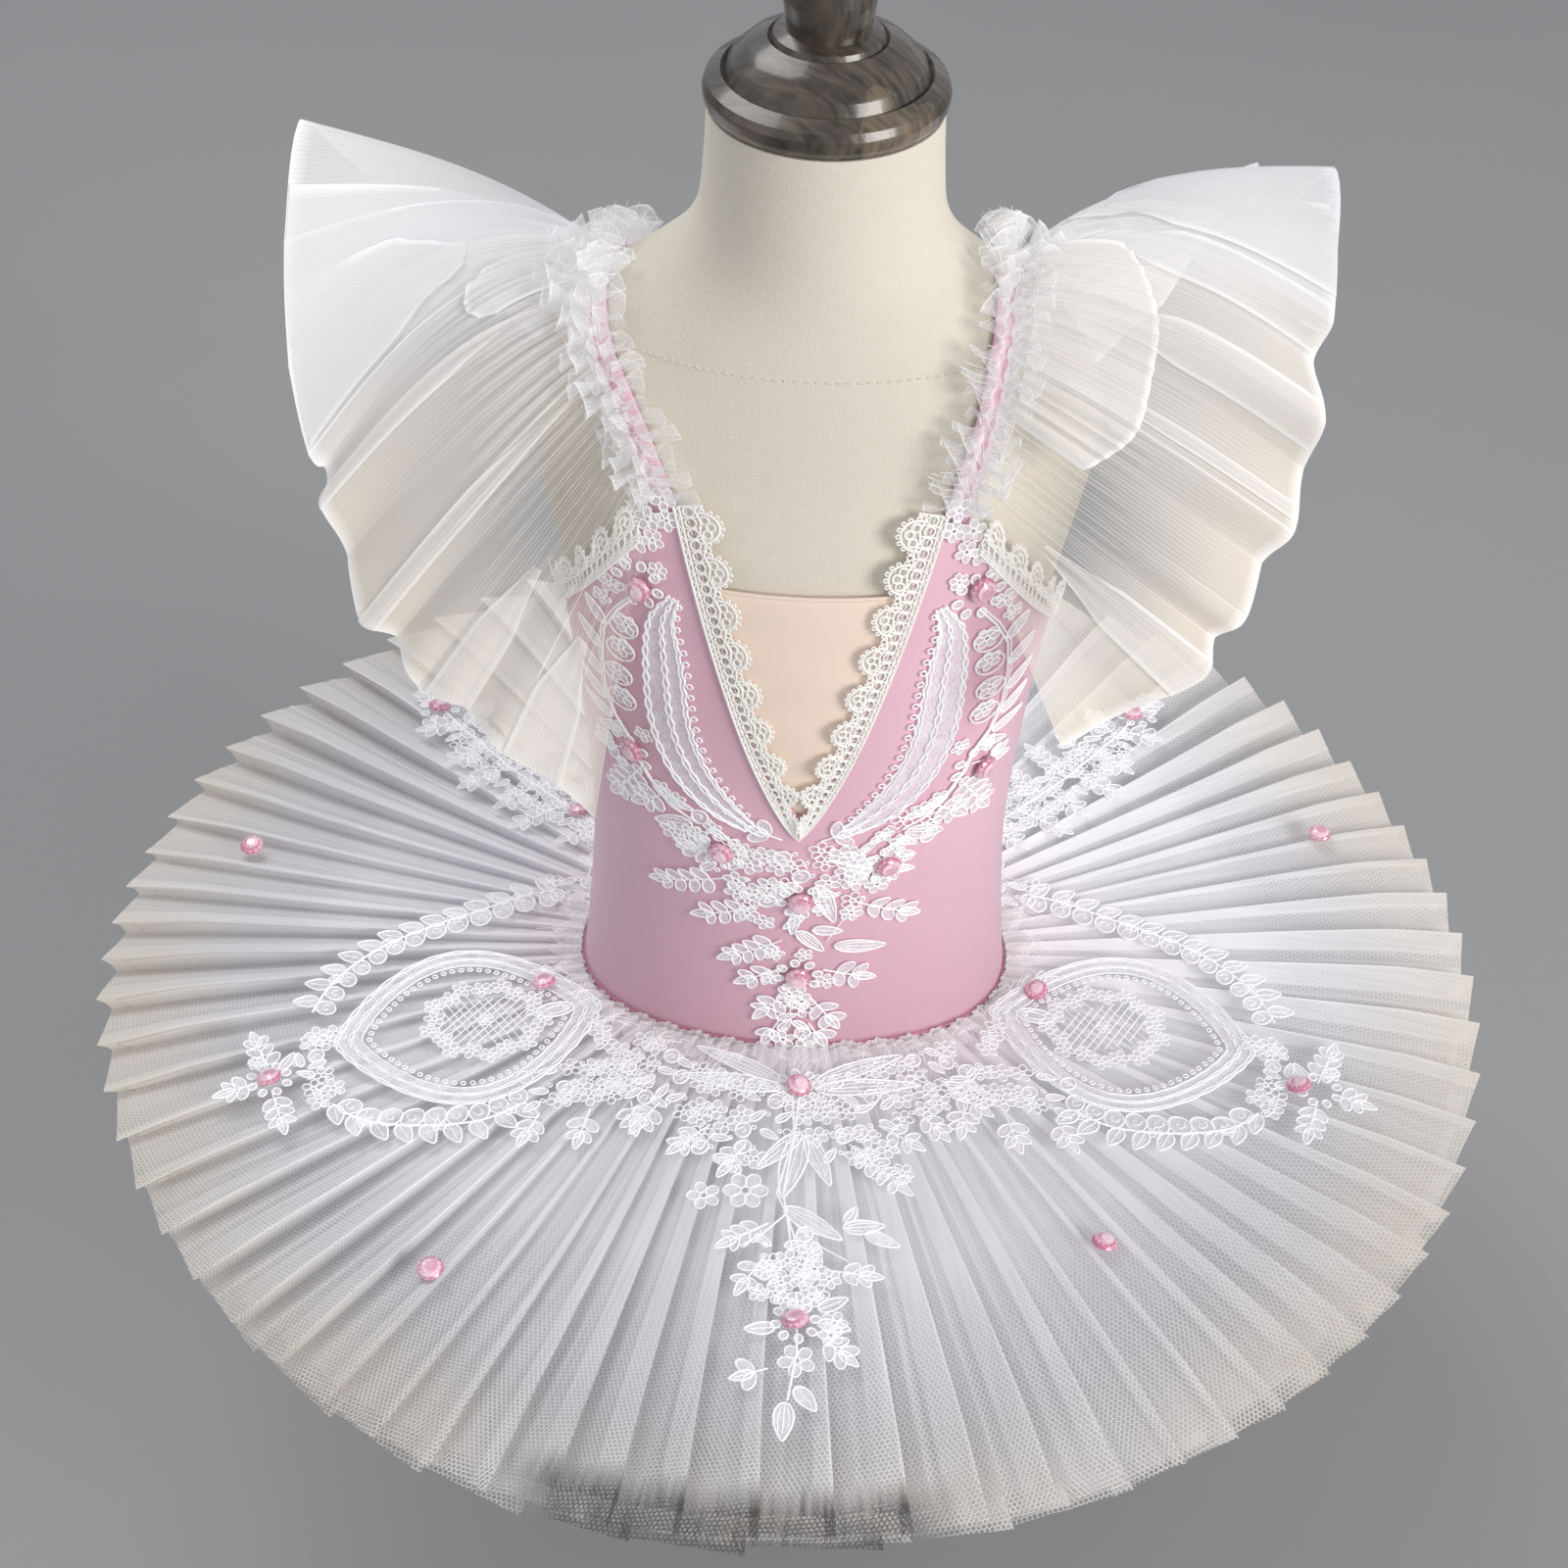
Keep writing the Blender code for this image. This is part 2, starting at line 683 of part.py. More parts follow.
def thick_sheet(name, sheet, mat, sharp):
    """A wall of TRIM thickness about a sheet of points."""
    normals = sheet_normals(sheet)
    outer = [[p + n * TRIM / 2 for p, n in zip(*pair)] for pair in zip(sheet, normals)]
    inner = [[p - n * TRIM / 2 for p, n in zip(*pair)] for pair in zip(sheet, normals)]
    return wall(name, outer, inner, mat, sharp=sharp)


def wing(name, side, folds, frame, net):
    sheet = []
    for fold in folds:
        p, normal, arm = frame(fold.along)
        root = p + normal * 0.55 + arm * 0.30
        end = Vector((side * fold.out, fold.y, fold.z))
        line = []
        for r in range(WING_ROWS + 1):
            share = r / WING_ROWS
            lift = WING_LIFT * math.sin(math.pi * share)
            line.append(root.lerp(end, share) + (normal + arm).normalized() * lift)
        sheet.append(line)
    thick_sheet(name, sheet, net, 25.0)


def frill(name, frame, net):
    sheet = []
    steps = 2 * FRILL_WAVES
    for k in range(steps + 1):
        p, normal, arm = frame(mix(0.10, 0.95, k / steps))
        tilt = math.radians(58.0 if k % 2 else 20.0)
        reach = FRILL_REACH * (1 + 0.18 * uneven(k, 1))
        root = p + normal * 0.42 - arm * 0.25
        way = normal * math.sin(tilt) - arm * math.cos(tilt)
        sheet.append([root, root + way * reach * 0.5, root + way * reach])
    thick_sheet(name, sheet, net, 25.0)


# ---------------------------------------------------------------- skirt

def skirt_line(layer, turn):
    """Inner and outer end of a layer's middle surface at this turn."""
    inner_z = join_height(turn) - layer.join_drop
    start = on_form(turn, inner_z, SATIN_OUT + LAYER_GAP)
    angle = math.radians(turn)
    end = Vector((layer.radius * math.sin(angle), -layer.radius * math.cos(angle),
                  RIM_Z - layer.rim_drop))
    start.z = inner_z
    return start, end


def skirt_layer(layer, net):
    upper, lower = [], []
    pitch = 360.0 / layer.pleats
    for k in range(layer.pleats):
        for crest in (0, 1):
            place = k + crest * (1 - PLEAT_FALL) + 0.06 * uneven(k, 2 + crest)
            start, end = skirt_line(layer, place * pitch)
            size = 1 + 0.14 * uneven(k, 4 + crest)
            end = end + (end - start).normalized() * 0.22 * uneven(k, 6 + crest)
            column = []
            for r in range(SKIRT_ROWS):
                share = (r / (SKIRT_ROWS - 1)) ** 0.85
                p = start.lerp(end, share)
                rise = layer.rise * size * Vector((p.x, p.y)).length / layer.radius
                p.z += rise * (0.5 if crest else -0.5)
                column.append(p)
            upper.append(column)
            lower.append([p - Vector((0, 0, NET_WALL)) for p in column])
    wall(layer.name, upper, lower, net, closed=True, sharp=20.0)


def crest_height(x, y):
    """Height just over the top layer's folds at x, y."""
    layer = LAYERS[0]
    target, radius = math.atan2(x, -y), math.hypot(x, y)
    turn = math.degrees(target)
    for _ in range(6):
        start, end = skirt_line(layer, turn)
        inner = math.hypot(start.x, start.y)
        share = (radius - inner) / (layer.radius - inner)
        spot = start.lerp(end, share)
        turn += math.degrees(target - math.atan2(spot.x, -spot.y))
    rise = layer.rise * 1.14 * radius / layer.radius
    return spot.z + rise / 2 + PLATE_GAP


# ---------------------------------------------------------------- applique and stones

def plate(name, stations, place, mat, across=4):
    """A thin plate along its stations; place(a, b, level) puts a point on its panel."""
    outer, inner = [], []
    count = len(stations)
    for i, here in enumerate(stations):
        before, after = stations[max(i - 1, 0)], stations[min(i + 1, count - 1)]
        way = Vector((after.a - before.a, after.b - before.b)).normalized()
        side = Vector((-way.y, way.x)) * here.half
        spots = [Vector((here.a, here.b)) + side * mix(-1, 1, c / across)
                 for c in range(across + 1)]
        outer.append([place(s.x, s.y, TRIM) for s in spots])
        inner.append([place(s.x, s.y, 0.0) for s in spots])
    return wall(name, outer, inner, mat)


def bodice_place(side):
    return lambda a, b, level: on_form_at(side * a, b, TRIM_IN + level)


def skirt_place(side):
    shift = math.radians(RIGHT_SHIFT if side > 0 else 0.0)

    def place(a, b, level):
        x = side * a if side else a
        spot = (x * math.cos(shift) - b * math.sin(shift),
                x * math.sin(shift) + b * math.cos(shift))
        return Vector((*spot, crest_height(*spot) + level))

    return place


def pointed_oval():
    """Stations of the skirt's pointed-oval panel, from its inner to its outer point."""
    start, end = Vector(PANEL_INNER), Vector(PANEL_OUTER)
    stations = []
    for k in range(PANEL_CUTS + 1):
        share = mix(0.02, 0.98, k / PANEL_CUTS)
        middle = start.lerp(end, share)
        half = PANEL_HALF * math.sin(math.pi * share) ** 0.75
        stations.append(Station(middle.x, middle.y, half))
    return stations


def appliques(lace):
    plate("applique_bodice_centre", BODICE_SPRAY, bodice_place(1), lace, 6)
    plate("applique_skirt_centre", SKIRT_SPRAY, skirt_place(0), lace, 4)
    for label, side in (("left", -1), ("right", 1)):
        plate("applique_crescent_" + label, CRESCENT, bodice_place(side), lace, 2)
        plate("applique_side_" + label, SIDE_SPRIG, bodice_place(side), lace, 4)
        plate("applique_panel_" + label, pointed_oval(), skirt_place(side), lace, 4)
        plate("applique_back_" + label, BACK_SPRAY, skirt_place(side), lace, 2)
        plate("applique_sprig_" + label, OUTER_SPRIG, skirt_place(side), lace, 2)


def gem(name, centre, normal, mat):
    """A round cut stone: flat back, eight sides, a smaller flat table on top."""
    bm = bmesh.new()
    bmesh.ops.create_cone(bm, cap_ends=True, segments=8, radius1=GEM_R * CM,
                          radius2=GEM_R * 0.55 * CM, depth=GEM_H * CM)
    turn = Vector((0, 0, 1)).rotation_difference(normal).to_matrix()
    bmesh.ops.rotate(bm, verts=bm.verts, matrix=turn)
    bmesh.ops.translate(bm, verts=bm.verts, vec=(centre + normal * GEM_H / 2) * CM)
    add_object(name, bm, mat, 5.0)


def gems(crystal):
    def on_bodice(name, x, z):
        middle = on_form_at(x, z)
        normal = form_normal(middle)
        gem(name, middle + normal * GEM_IN, normal, crystal)

    def on_skirt(name, x, y, on_plate):
        level = TRIM + GEM_GAP if on_plate else 0.0
        gem(name, Vector((x, y, crest_height(x, y) + level)), Vector((0, 0, 1)), crystal)

    for name, (x, z) in BODICE_GEMS.items():
        on_bodice("gem_bodice_" + name, x, z)
    for name, stone in SKIRT_GEMS.items():
        on_skirt("gem_skirt_" + name, stone.x, stone.y, stone.on_plate)


# ---------------------------------------------------------------- the whole

def build():
    for obj in list(bpy.data.objects):
        bpy.data.objects.remove(obj)
    linen = material("linen", (0.72, 0.66, 0.55), 0.9)
    wood = material("dark_wood", (0.09, 0.06, 0.045), 0.3)
    satin = material("pink_satin", (0.86, 0.56, 0.66), 0.4)
    nude = material("nude_stretch", (0.90, 0.68, 0.57), 0.6)
    lace = material("cream_lace", (0.93, 0.92, 0.90), 0.8)
    net = material("white_net", (0.95, 0.95, 0.97), 0.7, alpha=0.5)
    crystal = material("pink_crystal", (0.88, 0.35, 0.50), 0.08)

    dress_form(linen)
    stand(wood)
    bodice(satin, nude)
    brief(satin)
    sides = (("left", -1, STRAP_LEFT, WING_LEFT), ("right", 1, STRAP_RIGHT, WING_RIGHT))
    for label, side, line, folds in sides:
        frame = strap_frame(side, line)
        neck_lace("neck_lace_" + label, side, lace)
        side_lace("side_lace_" + label, side, lace)
        strap("strap_" + label, frame, satin)
        frill("frill_" + label, frame, net)
        wing("wing_" + label, side, folds, frame, net)
    for layer in LAYERS:
        skirt_layer(layer, net)
    appliques(lace)
    gems(crystal)


build()
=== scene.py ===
# %% [markdown]
# # A ballet tutu on its dress form
# The real thing is a child's stage tutu: a stretch satin bodice, a skirt of stiff net
# pleated into a flat plate, two net wings at the shoulders, guipure lace, corded
# applique and pink cut stones. It stands on a linen dress form with turned wood.
# Every object is in metres and stands where the solid model has it. Here the sizes are
# written in centimetres, as a dressmaker would measure them, and CM turns them over.

# %% Load the solid model
import json
import math
from collections import namedtuple

import bmesh
import bpy
from mathutils import Matrix, Vector

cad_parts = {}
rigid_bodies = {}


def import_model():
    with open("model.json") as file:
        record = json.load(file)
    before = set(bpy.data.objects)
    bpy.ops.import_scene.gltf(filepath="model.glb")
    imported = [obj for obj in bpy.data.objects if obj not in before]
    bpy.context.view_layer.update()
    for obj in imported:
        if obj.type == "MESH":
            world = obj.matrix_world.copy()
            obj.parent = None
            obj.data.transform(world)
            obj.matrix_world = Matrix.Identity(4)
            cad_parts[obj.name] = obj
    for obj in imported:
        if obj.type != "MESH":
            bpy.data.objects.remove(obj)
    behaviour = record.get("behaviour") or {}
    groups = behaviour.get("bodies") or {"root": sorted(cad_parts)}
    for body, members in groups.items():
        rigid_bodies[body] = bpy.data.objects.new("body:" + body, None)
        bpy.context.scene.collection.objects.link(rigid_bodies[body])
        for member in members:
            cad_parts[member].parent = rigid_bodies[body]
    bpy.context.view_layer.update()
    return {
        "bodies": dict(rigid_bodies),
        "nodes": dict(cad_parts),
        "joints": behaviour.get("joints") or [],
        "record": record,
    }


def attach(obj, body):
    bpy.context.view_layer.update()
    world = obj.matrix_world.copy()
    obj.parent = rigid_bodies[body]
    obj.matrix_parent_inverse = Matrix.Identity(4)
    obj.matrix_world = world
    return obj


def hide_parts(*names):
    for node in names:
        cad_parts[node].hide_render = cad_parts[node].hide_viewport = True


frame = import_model()
CM = 0.01

# %% [markdown]
# ## Camera
# The camera looks down at the tutu from the front, from about a metre and a quarter
# away. A long lens with no shift and no depth of field keeps the other views plain.

# %% The camera
FOCAL, FRAME_WIDE, SENSOR = 2865, 1600, 36       # the first two share a unit; SENSOR is mm
LENS = FOCAL / FRAME_WIDE * SENSOR
DISTANCE, HEIGHT_ANGLE, LOOK_ANGLE = 1.2735, math.radians(44.6), math.radians(41.054)
LOOKED_AT_Z = 0.30
PAN, ROLL = math.atan(22 / FOCAL), math.radians(1.9)

camera = bpy.data.objects.new("camera", bpy.data.cameras.new("camera"))
camera.data.lens = LENS
camera.data.sensor_width = SENSOR
spot = Vector((0, -DISTANCE * math.cos(HEIGHT_ANGLE),
               LOOKED_AT_Z + DISTANCE * math.sin(HEIGHT_ANGLE)))
camera.matrix_world = (Matrix.Translation(spot)
                       @ Matrix.Rotation(PAN, 4, "Z")
                       @ Matrix.Rotation(math.pi / 2 - LOOK_ANGLE, 4, "X")
                       @ Matrix.Rotation(ROLL, 4, "Z"))
bpy.context.scene.collection.objects.link(camera)
bpy.context.scene.camera = camera
print("lens:", round(LENS, 1), "mm")

# %% [markdown]
# ## Small tools for shader nodes
# Every material below is made of nodes. These helpers keep those cells short. One adds
# a node and fills its sockets in order. Others stand for the nodes used most: a ramp
# (a value times a slope plus a start), a product, a noise, a stretched place, a mix of
# two colours. `effect` starts a node group, a saved effect that materials can share.

# %% Node helpers
def feed(tree, value, socket):
    """Links a socket's value onwards, or sets a plain value; None leaves it alone."""
    if isinstance(value, bpy.types.NodeSocket):
        tree.links.new(value, socket)
    elif value is not None:
        socket.default_value = value


def add(tree, kind, *values, **settings):
    """Adds a node and feeds the values to its sockets in order."""
    made = tree.nodes.new("ShaderNode" + kind)
    for key, value in settings.items():
        setattr(made, key, value)
    for socket, value in zip(made.inputs, values):
        feed(tree, value, socket)
    return made


def maths(tree, operation, *values, clamp=False):
    return add(tree, "Math", *values, operation=operation, use_clamp=clamp).outputs[0]


def ramp(tree, value, slope, start, clamp=False):
    return maths(tree, "MULTIPLY_ADD", value, slope, start, clamp=clamp)


def times(tree, first, second, clamp=False):
    return maths(tree, "MULTIPLY", first, second, clamp=clamp)


def vectors(tree, operation, *values):
    made = add(tree, "VectorMath", *values, operation=operation)
    return made.outputs["Value" if operation in ("LENGTH", "DOT_PRODUCT") else 0]


def stretch(tree, place, by):
    return vectors(tree, "MULTIPLY", place, by)


def axis(tree, place, number):
    return add(tree, "SeparateXYZ", place).outputs[number]


def noise(tree, place, scale, detail):
    return add(tree, "TexNoise", place, None, scale, detail).outputs[0]


def attribute(tree, name):
    return add(tree, "Attribute", attribute_name=name).outputs["Fac"]


def two_tone(tree, share, first, second):
    """A colour between two colours."""
    made = add(tree, "Mix", share, data_type="RGBA")
    for socket, value in zip((made.inputs[6], made.inputs[7]), (first, second)):
        linked = isinstance(value, bpy.types.NodeSocket)
        feed(tree, value if linked else (*value, 1.0), socket)
    return made.outputs[2]


def effect(name, takes, gives):
    """A node group with the named inputs (kind and first value) and outputs (kind)."""
    group = bpy.data.node_groups.new(name, "ShaderNodeTree")
    for label, (kind, value) in takes.items():
        group.interface.new_socket(label, in_out="INPUT",
                                   socket_type="NodeSocket" + kind).default_value = value
    for label, kind in gives.items():
        group.interface.new_socket(label, in_out="OUTPUT", socket_type="NodeSocket" + kind)
    return group, group.nodes.new("NodeGroupInput"), group.nodes.new("NodeGroupOutput")


def use(tree, group, **values):
    """Places an effect in a material with its own values."""
    made = add(tree, "Group", node_tree=group)
    for label, value in values.items():
        feed(tree, value, made.inputs[label])
    return made.outputs


def finish_for(name, colour, roughness, glow=0.0, **plain):
    """A material with a Principled shader; plain values go on the shader's own sockets.

    A glow is a very weak white one, painted light: for thin cloth that light comes through,
    and to keep white thread and cord bright in shade.
    """
    made = bpy.data.materials.new(name)
    made.use_nodes = True
    tree = made.node_tree
    shader = tree.nodes["Principled BSDF"]
    shader.inputs["Base Color"].default_value = (*colour, 1.0)
    shader.inputs["Roughness"].default_value = roughness
    for label, value in plain.items():
        shader.inputs[label.replace("_", " ")].default_value = value
    if glow:
        shader.inputs["Emission Color"].default_value = (1, 1, 1, 1)
        shader.inputs["Emission Strength"].default_value = glow
    return made, tree, shader


def raised(tree, shader, height, distance, strength=1.0):
    """Sends a height to the shader as a bump this many metres deep."""
    bump = add(tree, "Bump", strength, distance)
    tree.links.new(height, bump.inputs["Height"])
    tree.links.new(bump.outputs["Normal"], shader.inputs["Normal"])


def cut_map(tree):
    """The piece's own UV map, which is the flat cloth measured in centimetres."""
    return add(tree, "UVMap", uv_map="cut").outputs[0]


def own_place(tree):
    return tree.nodes.new("ShaderNodeTexCoord").outputs["Object"]


# %% [markdown]
# ## Floor and light
# A plain grey floor, one big soft lamp at the right, a faint one at the left, a third
# above and behind, and a grey sky. The net is white on grey, so the floor stays a
# middle tone.

# %% The floor and the lamps
FLOOR_TONE, FLOOR_DARK, FLOOR_LIGHT = ((tone,) * 3 for tone in (0.34, 0.325, 0.355))
FLOOR_HALF, BELOW_STAND = 9.0, 0.0005            # metres
LIT_POINT = Vector((0, 0, 0.42))                 # every lamp is turned to this point

bm = bmesh.new()
bmesh.ops.create_grid(bm, x_segments=2, y_segments=2, size=FLOOR_HALF)
bmesh.ops.translate(bm, verts=bm.verts, vec=(0, 0, -BELOW_STAND))
floor = bpy.data.objects.new("floor", bpy.data.meshes.new("floor"))
bm.to_mesh(floor.data)
bm.free()
bpy.context.scene.collection.objects.link(floor)
paper, tree, shader = finish_for("floor_paper", FLOOR_TONE, 0.9)
shade = two_tone(tree, noise(tree, own_place(tree), 3.0, 4.0), FLOOR_DARK, FLOOR_LIGHT)
tree.links.new(shade, shader.inputs["Base Color"])
floor.data.materials.append(paper)


def lamp(name, place, size, power, colour):
    made = bpy.data.objects.new(name, bpy.data.lights.new(name, "AREA"))
    made.data.size = size
    made.data.energy = power
    made.data.color = colour
    made.location = place
    made.rotation_euler = (LIT_POINT - made.location).to_track_quat("-Z", "Y").to_euler()
    bpy.context.scene.collection.objects.link(made)


lamp("window", Vector((2.1, -1.8, 1.40)), 1.4, 59, (1.0, 0.985, 0.96))
lamp("fill", Vector((-1.7, -1.3, 1.3)), 1.6, 3.0, (0.94, 0.96, 1.0))
lamp("above", Vector((-0.8, 0.8, 2.2)), 1.2, 15, (1.0, 1.0, 1.0))

sky = bpy.data.worlds.new("sky")
sky.use_nodes = True
colour, strength = sky.node_tree.nodes["Background"].inputs[:2]
colour.default_value, strength.default_value = (0.92, 0.94, 1.0, 1.0), 0.52
bpy.context.scene.world = sky
bpy.context.scene.view_settings.view_transform = "Standard"
print("lamps:", [o.name for o in bpy.data.objects if o.type == "LIGHT"])

# %% [markdown]
# ## The form's measurements
# Everything is worn by the dress form, so its shape comes first. It is a pile of
# cross sections: at each height a half width, a depth to the front and one to the back.
# A smooth curve through the table gives every height between. `turn` is the angle round
# the body in degrees, 0 at the centre front and 90 at the +X side.

# %% Cross sections of the form
def table(kind, *values):
    """A table whose rows have named columns."""
    return [kind(*row) for row in values]


Section = namedtuple("Section", "z half_width front back")
SECTIONS = table(Section,
    (19.5, 4.6, 3.8, 4.0), (20.1, 6.6, 5.3, 5.8), (21.4, 8.2, 6.3, 7.2),
    (24.0, 9.4, 7.0, 8.3), (27.5, 9.4, 7.0, 8.2), (31.5, 9.0, 6.9, 7.3),
    (35.0, 8.7, 6.9, 6.7), (39.5, 8.5, 7.0, 6.3), (44.5, 8.8, 7.4, 6.5),
    (49.5, 9.3, 7.7, 6.9), (53.5, 9.9, 7.4, 7.2), (56.8, 10.6, 6.8, 7.1),
    (59.4, 11.0, 6.1, 6.8), (61.4, 10.8, 5.7, 6.4), (63.2, 9.9, 5.4, 6.0),
    (64.6, 8.5, 5.1, 5.6), (65.8, 6.8, 4.8, 5.2), (66.9, 5.4, 4.6, 4.9),
    (68.3, 4.6, 4.45, 4.6), (70.3, 4.35, 4.3, 4.4), (72.4, 4.25, 4.25, 4.25))
FORM_LOW_Z, SHOULDER_Z, NECK_TOP_Z = 19.5, 61.4, 72.4
SATIN_OUT = 0.32         # outside of the satin, from the form
TRIM_IN = 0.39           # lace and applique start here


def mix(a, b, share):
    return a + (b - a) * share


def unit(value):
    return min(1.0, max(0.0, value))


def left_of(way):
    """The flat direction a quarter turn to the left of this one."""
    return Vector((-way.y, way.x))


def up(height):
    return Vector((0, 0, height))


def outward(p):
    """The level direction from the Z axis to a point."""
    return Vector((p.x, p.y, 0)).normalized()


def uneven(k, seed):
    """A repeatable irregular number from -1 to 1."""
    return math.sin(12.9898 * k + 78.233 * seed)


def spline(value, column):
    """Smooth value of a column of SECTIONS at this height."""
    keys = [row.z for row in SECTIONS]
    ys = [getattr(row, column) for row in SECTIONS]
    value = min(max(value, keys[0]), keys[-1])
    i = max(k for k in range(len(keys) - 1) if keys[k] <= value)
    step = keys[i + 1] - keys[i]
    share = (value - keys[i]) / step

    def slope(k):
        low, high = max(k - 1, 0), min(k + 1, len(keys) - 1)
        return (ys[high] - ys[low]) / (keys[high] - keys[low])

    s2, s3 = share ** 2, share ** 3
    return ((2 * s3 - 3 * s2 + 1) * ys[i] + (s3 - 2 * s2 + share) * step * slope(i)
            + (3 * s2 - 2 * s3) * ys[i + 1] + (s3 - s2) * step * slope(i + 1))


FINE = 0.02              # the curves are read once at this step, and looked up after
LAST = int((NECK_TOP_Z - FORM_LOW_Z) / FINE) - 1
READ = {column: [spline(FORM_LOW_Z + FINE * k, column) for k in range(LAST + 2)]
        for column in ("half_width", "front", "back")}


def look_up(z, column):
    place = min(max((z - FORM_LOW_Z) / FINE, 0.0), float(LAST))
    k = int(place)
    return mix(READ[column][k], READ[column][k + 1], place - k)


def half_width(z):
    return look_up(z, "half_width")


def depth(z, y):
    return look_up(z, "front" if y <= 0 else "back")


def uphill(p):
    """How the form's level changes at a point: its surface is where the level is 0."""
    def level(z):
        return (p.x / half_width(z)) ** 2 + (p.y / depth(z, p.y)) ** 2

    near = 0.05
    rise = (level(p.z + near) - level(p.z - near)) / (2 * near)
    slope = Vector((2 * p.x / half_width(p.z) ** 2, 2 * p.y / depth(p.z, p.y) ** 2, rise))
    return level(p.z) - 1, slope


def form_normal(p):
    return uphill(p)[1].normalized()


def to_form(p):
    """The nearby point on the form's surface."""
    for _ in range(4):
        level, slope = uphill(p)
        p = p - slope * level / slope.length_squared
    return p


def on_form(turn, z, out=0.0):
    """Point on the form at this turn and height, moved out along the surface normal."""
    angle = math.radians(turn)
    y = -math.cos(angle)
    p = Vector((half_width(z) * math.sin(angle), y * depth(z, y), z))
    return p + form_normal(p) * out if out else p


def on_form_at(x, z, out=0.0, back=False):
    turn = math.degrees(math.asin(max(-1.0, min(1.0, x / half_width(z)))))
    return on_form(180.0 - turn if back else turn, z, out)


print("bust:", round(2 * half_width(53.5), 1), "cm wide")

# %% [markdown]
# ## Cloth as a grid
# A piece of cloth is modelled as a grid of squares whose points are then moved to
# where the cloth hangs. The distances between the points, along and across, are what a
# tape would measure on the cloth, so they become its UV map, in centimetres, and a
# weave or a net mesh drawn on that map has its true size. A pleat panel starts its own
# count, so that the mesh stays square on it.

# %% Cloth helpers
def worn(name, mesh, mat):
    """Makes the object of a mesh, smooth, and lets it ride on the one rigid body."""
    made = bpy.data.objects.new(name, mesh)
    mesh.shade_smooth()
    mesh.materials.append(mat)
    bpy.context.scene.collection.objects.link(made)
    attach(made, "root")
    return made


def show(name, bm, mat, sharp=None):
    """Makes the object of a finished bmesh; edges bent more than `sharp` stay sharp."""
    mesh = bpy.data.meshes.new(name)
    bm.to_mesh(mesh)
    bm.free()
    made = worn(name, mesh, mat)
    if sharp:
        mesh.set_sharp_from_angle(angle=math.radians(sharp))
    return made


def running(points):
    """Length from the first of these points to each of them."""
    total = [0.0]
    for p, q in zip(points, points[1:]):
        total.append(total[-1] + (q - p).length)
    return total


def locate(run, length):
    """The step of a running length in which this length falls, and its share there."""
    i = max(k for k in range(len(run) - 1) if run[k] <= length)
    return i, (length - run[i]) / (run[i + 1] - run[i])


def cloth(name, points, mat, panels=(0,), upward=False, closed=False, sharp=None,
          fanned=False, **tones):
    """A sheet through points[column][row], in cm. `panels` are where panels start.

    Each tone is a function of column and row, and becomes an attribute of the sheet.
    On a fanned sheet the threads run with the columns, closer where it is gathered.
    """
    across, down = len(points) - 1, len(points[0]) - 1
    rows = [running([column[r] for column in points]) for r in range(down + 1)]
    columns = [running(column) for column in points]
    bm = bmesh.new()
    cut = bm.loops.layers.uv.new("cut")
    layers = {label: bm.verts.layers.float.new(label) for label in tones}
    bmesh.ops.create_grid(bm, x_segments=across, y_segments=down, size=1.0)
    index = {v: (round((v.co.x + 1) / 2 * across), round((v.co.y + 1) / 2 * down))
             for v in bm.verts}
    starts, k = [], 0
    for c in range(across):
        while k + 1 < len(panels) and panels[k + 1] <= c:
            k += 1
        starts.append(panels[k])
    for face in bm.faces:
        start = starts[min(index[v][0] for v in face.verts)]
        for loop in face.loops:
            c, r = index[loop.vert]
            wide = rows[down][c]
            if not fanned:
                wide = rows[r][c] - rows[r][start] + rows[down][start]
            loop[cut].uv = (wide, columns[c][r])
    for v, (c, r) in index.items():
        v.co = points[c][r] * CM
        for label, layer in layers.items():
            v[layer] = tones[label](c, r)
    if closed:
        bmesh.ops.remove_doubles(bm, verts=bm.verts, dist=1e-6)
    bm.normal_update()
    facing = sum(f.calc_area() * (f.normal.z if upward else f.normal.xy.dot(
        f.calc_center_median().xy.normalized())) for f in bm.faces)
    if facing < 0:
        bmesh.ops.reverse_faces(bm, faces=bm.faces)
    return show(name, bm, mat, sharp)


def wall(piece, thickness):
    """Gives a sheet its thickness, inward from the side that shows."""
    thick = piece.modifiers.new("thickness", "SOLIDIFY")
    thick.thickness = thickness * CM
    thick.offset = -1
    return piece


def cords(name, lines, mat, sides=0):
    """Round cords along lines of points; each line is (points in cm, radius, closed)."""
    curve = bpy.data.curves.new(name, "CURVE")
    curve.dimensions = "3D"
    curve.bevel_depth = 1.0
    curve.bevel_resolution = sides
    curve.use_fill_caps = True
    for points, radius, closed in lines:
        line = curve.splines.new("POLY")
        line.points.add(len(points) - 1)
        line.points.foreach_set("co", [x for p in points for x in (*(p * CM), 1.0)])
        line.points.foreach_set("radius", [radius * CM] * len(points))
        line.use_cyclic_u = closed
    drawn = bpy.data.objects.new(name + "_line", curve)
    bpy.context.scene.collection.objects.link(drawn)
    seen = drawn.evaluated_get(bpy.context.evaluated_depsgraph_get())
    mesh = bpy.data.meshes.new_from_object(seen)
    bpy.data.objects.remove(drawn)
    mesh.name = name
    mesh.materials.clear()
    return worn(name, mesh, mat)


# %% [markdown]
# ## Shared effects
# Cloth, lace and net share a few patterns, so each is a node group that is made once.
# A weave is two sets of threads that pass over and under each other. It is drawn as
# waves on the cut map, and a slow noise thickens some threads, as in real yarn.

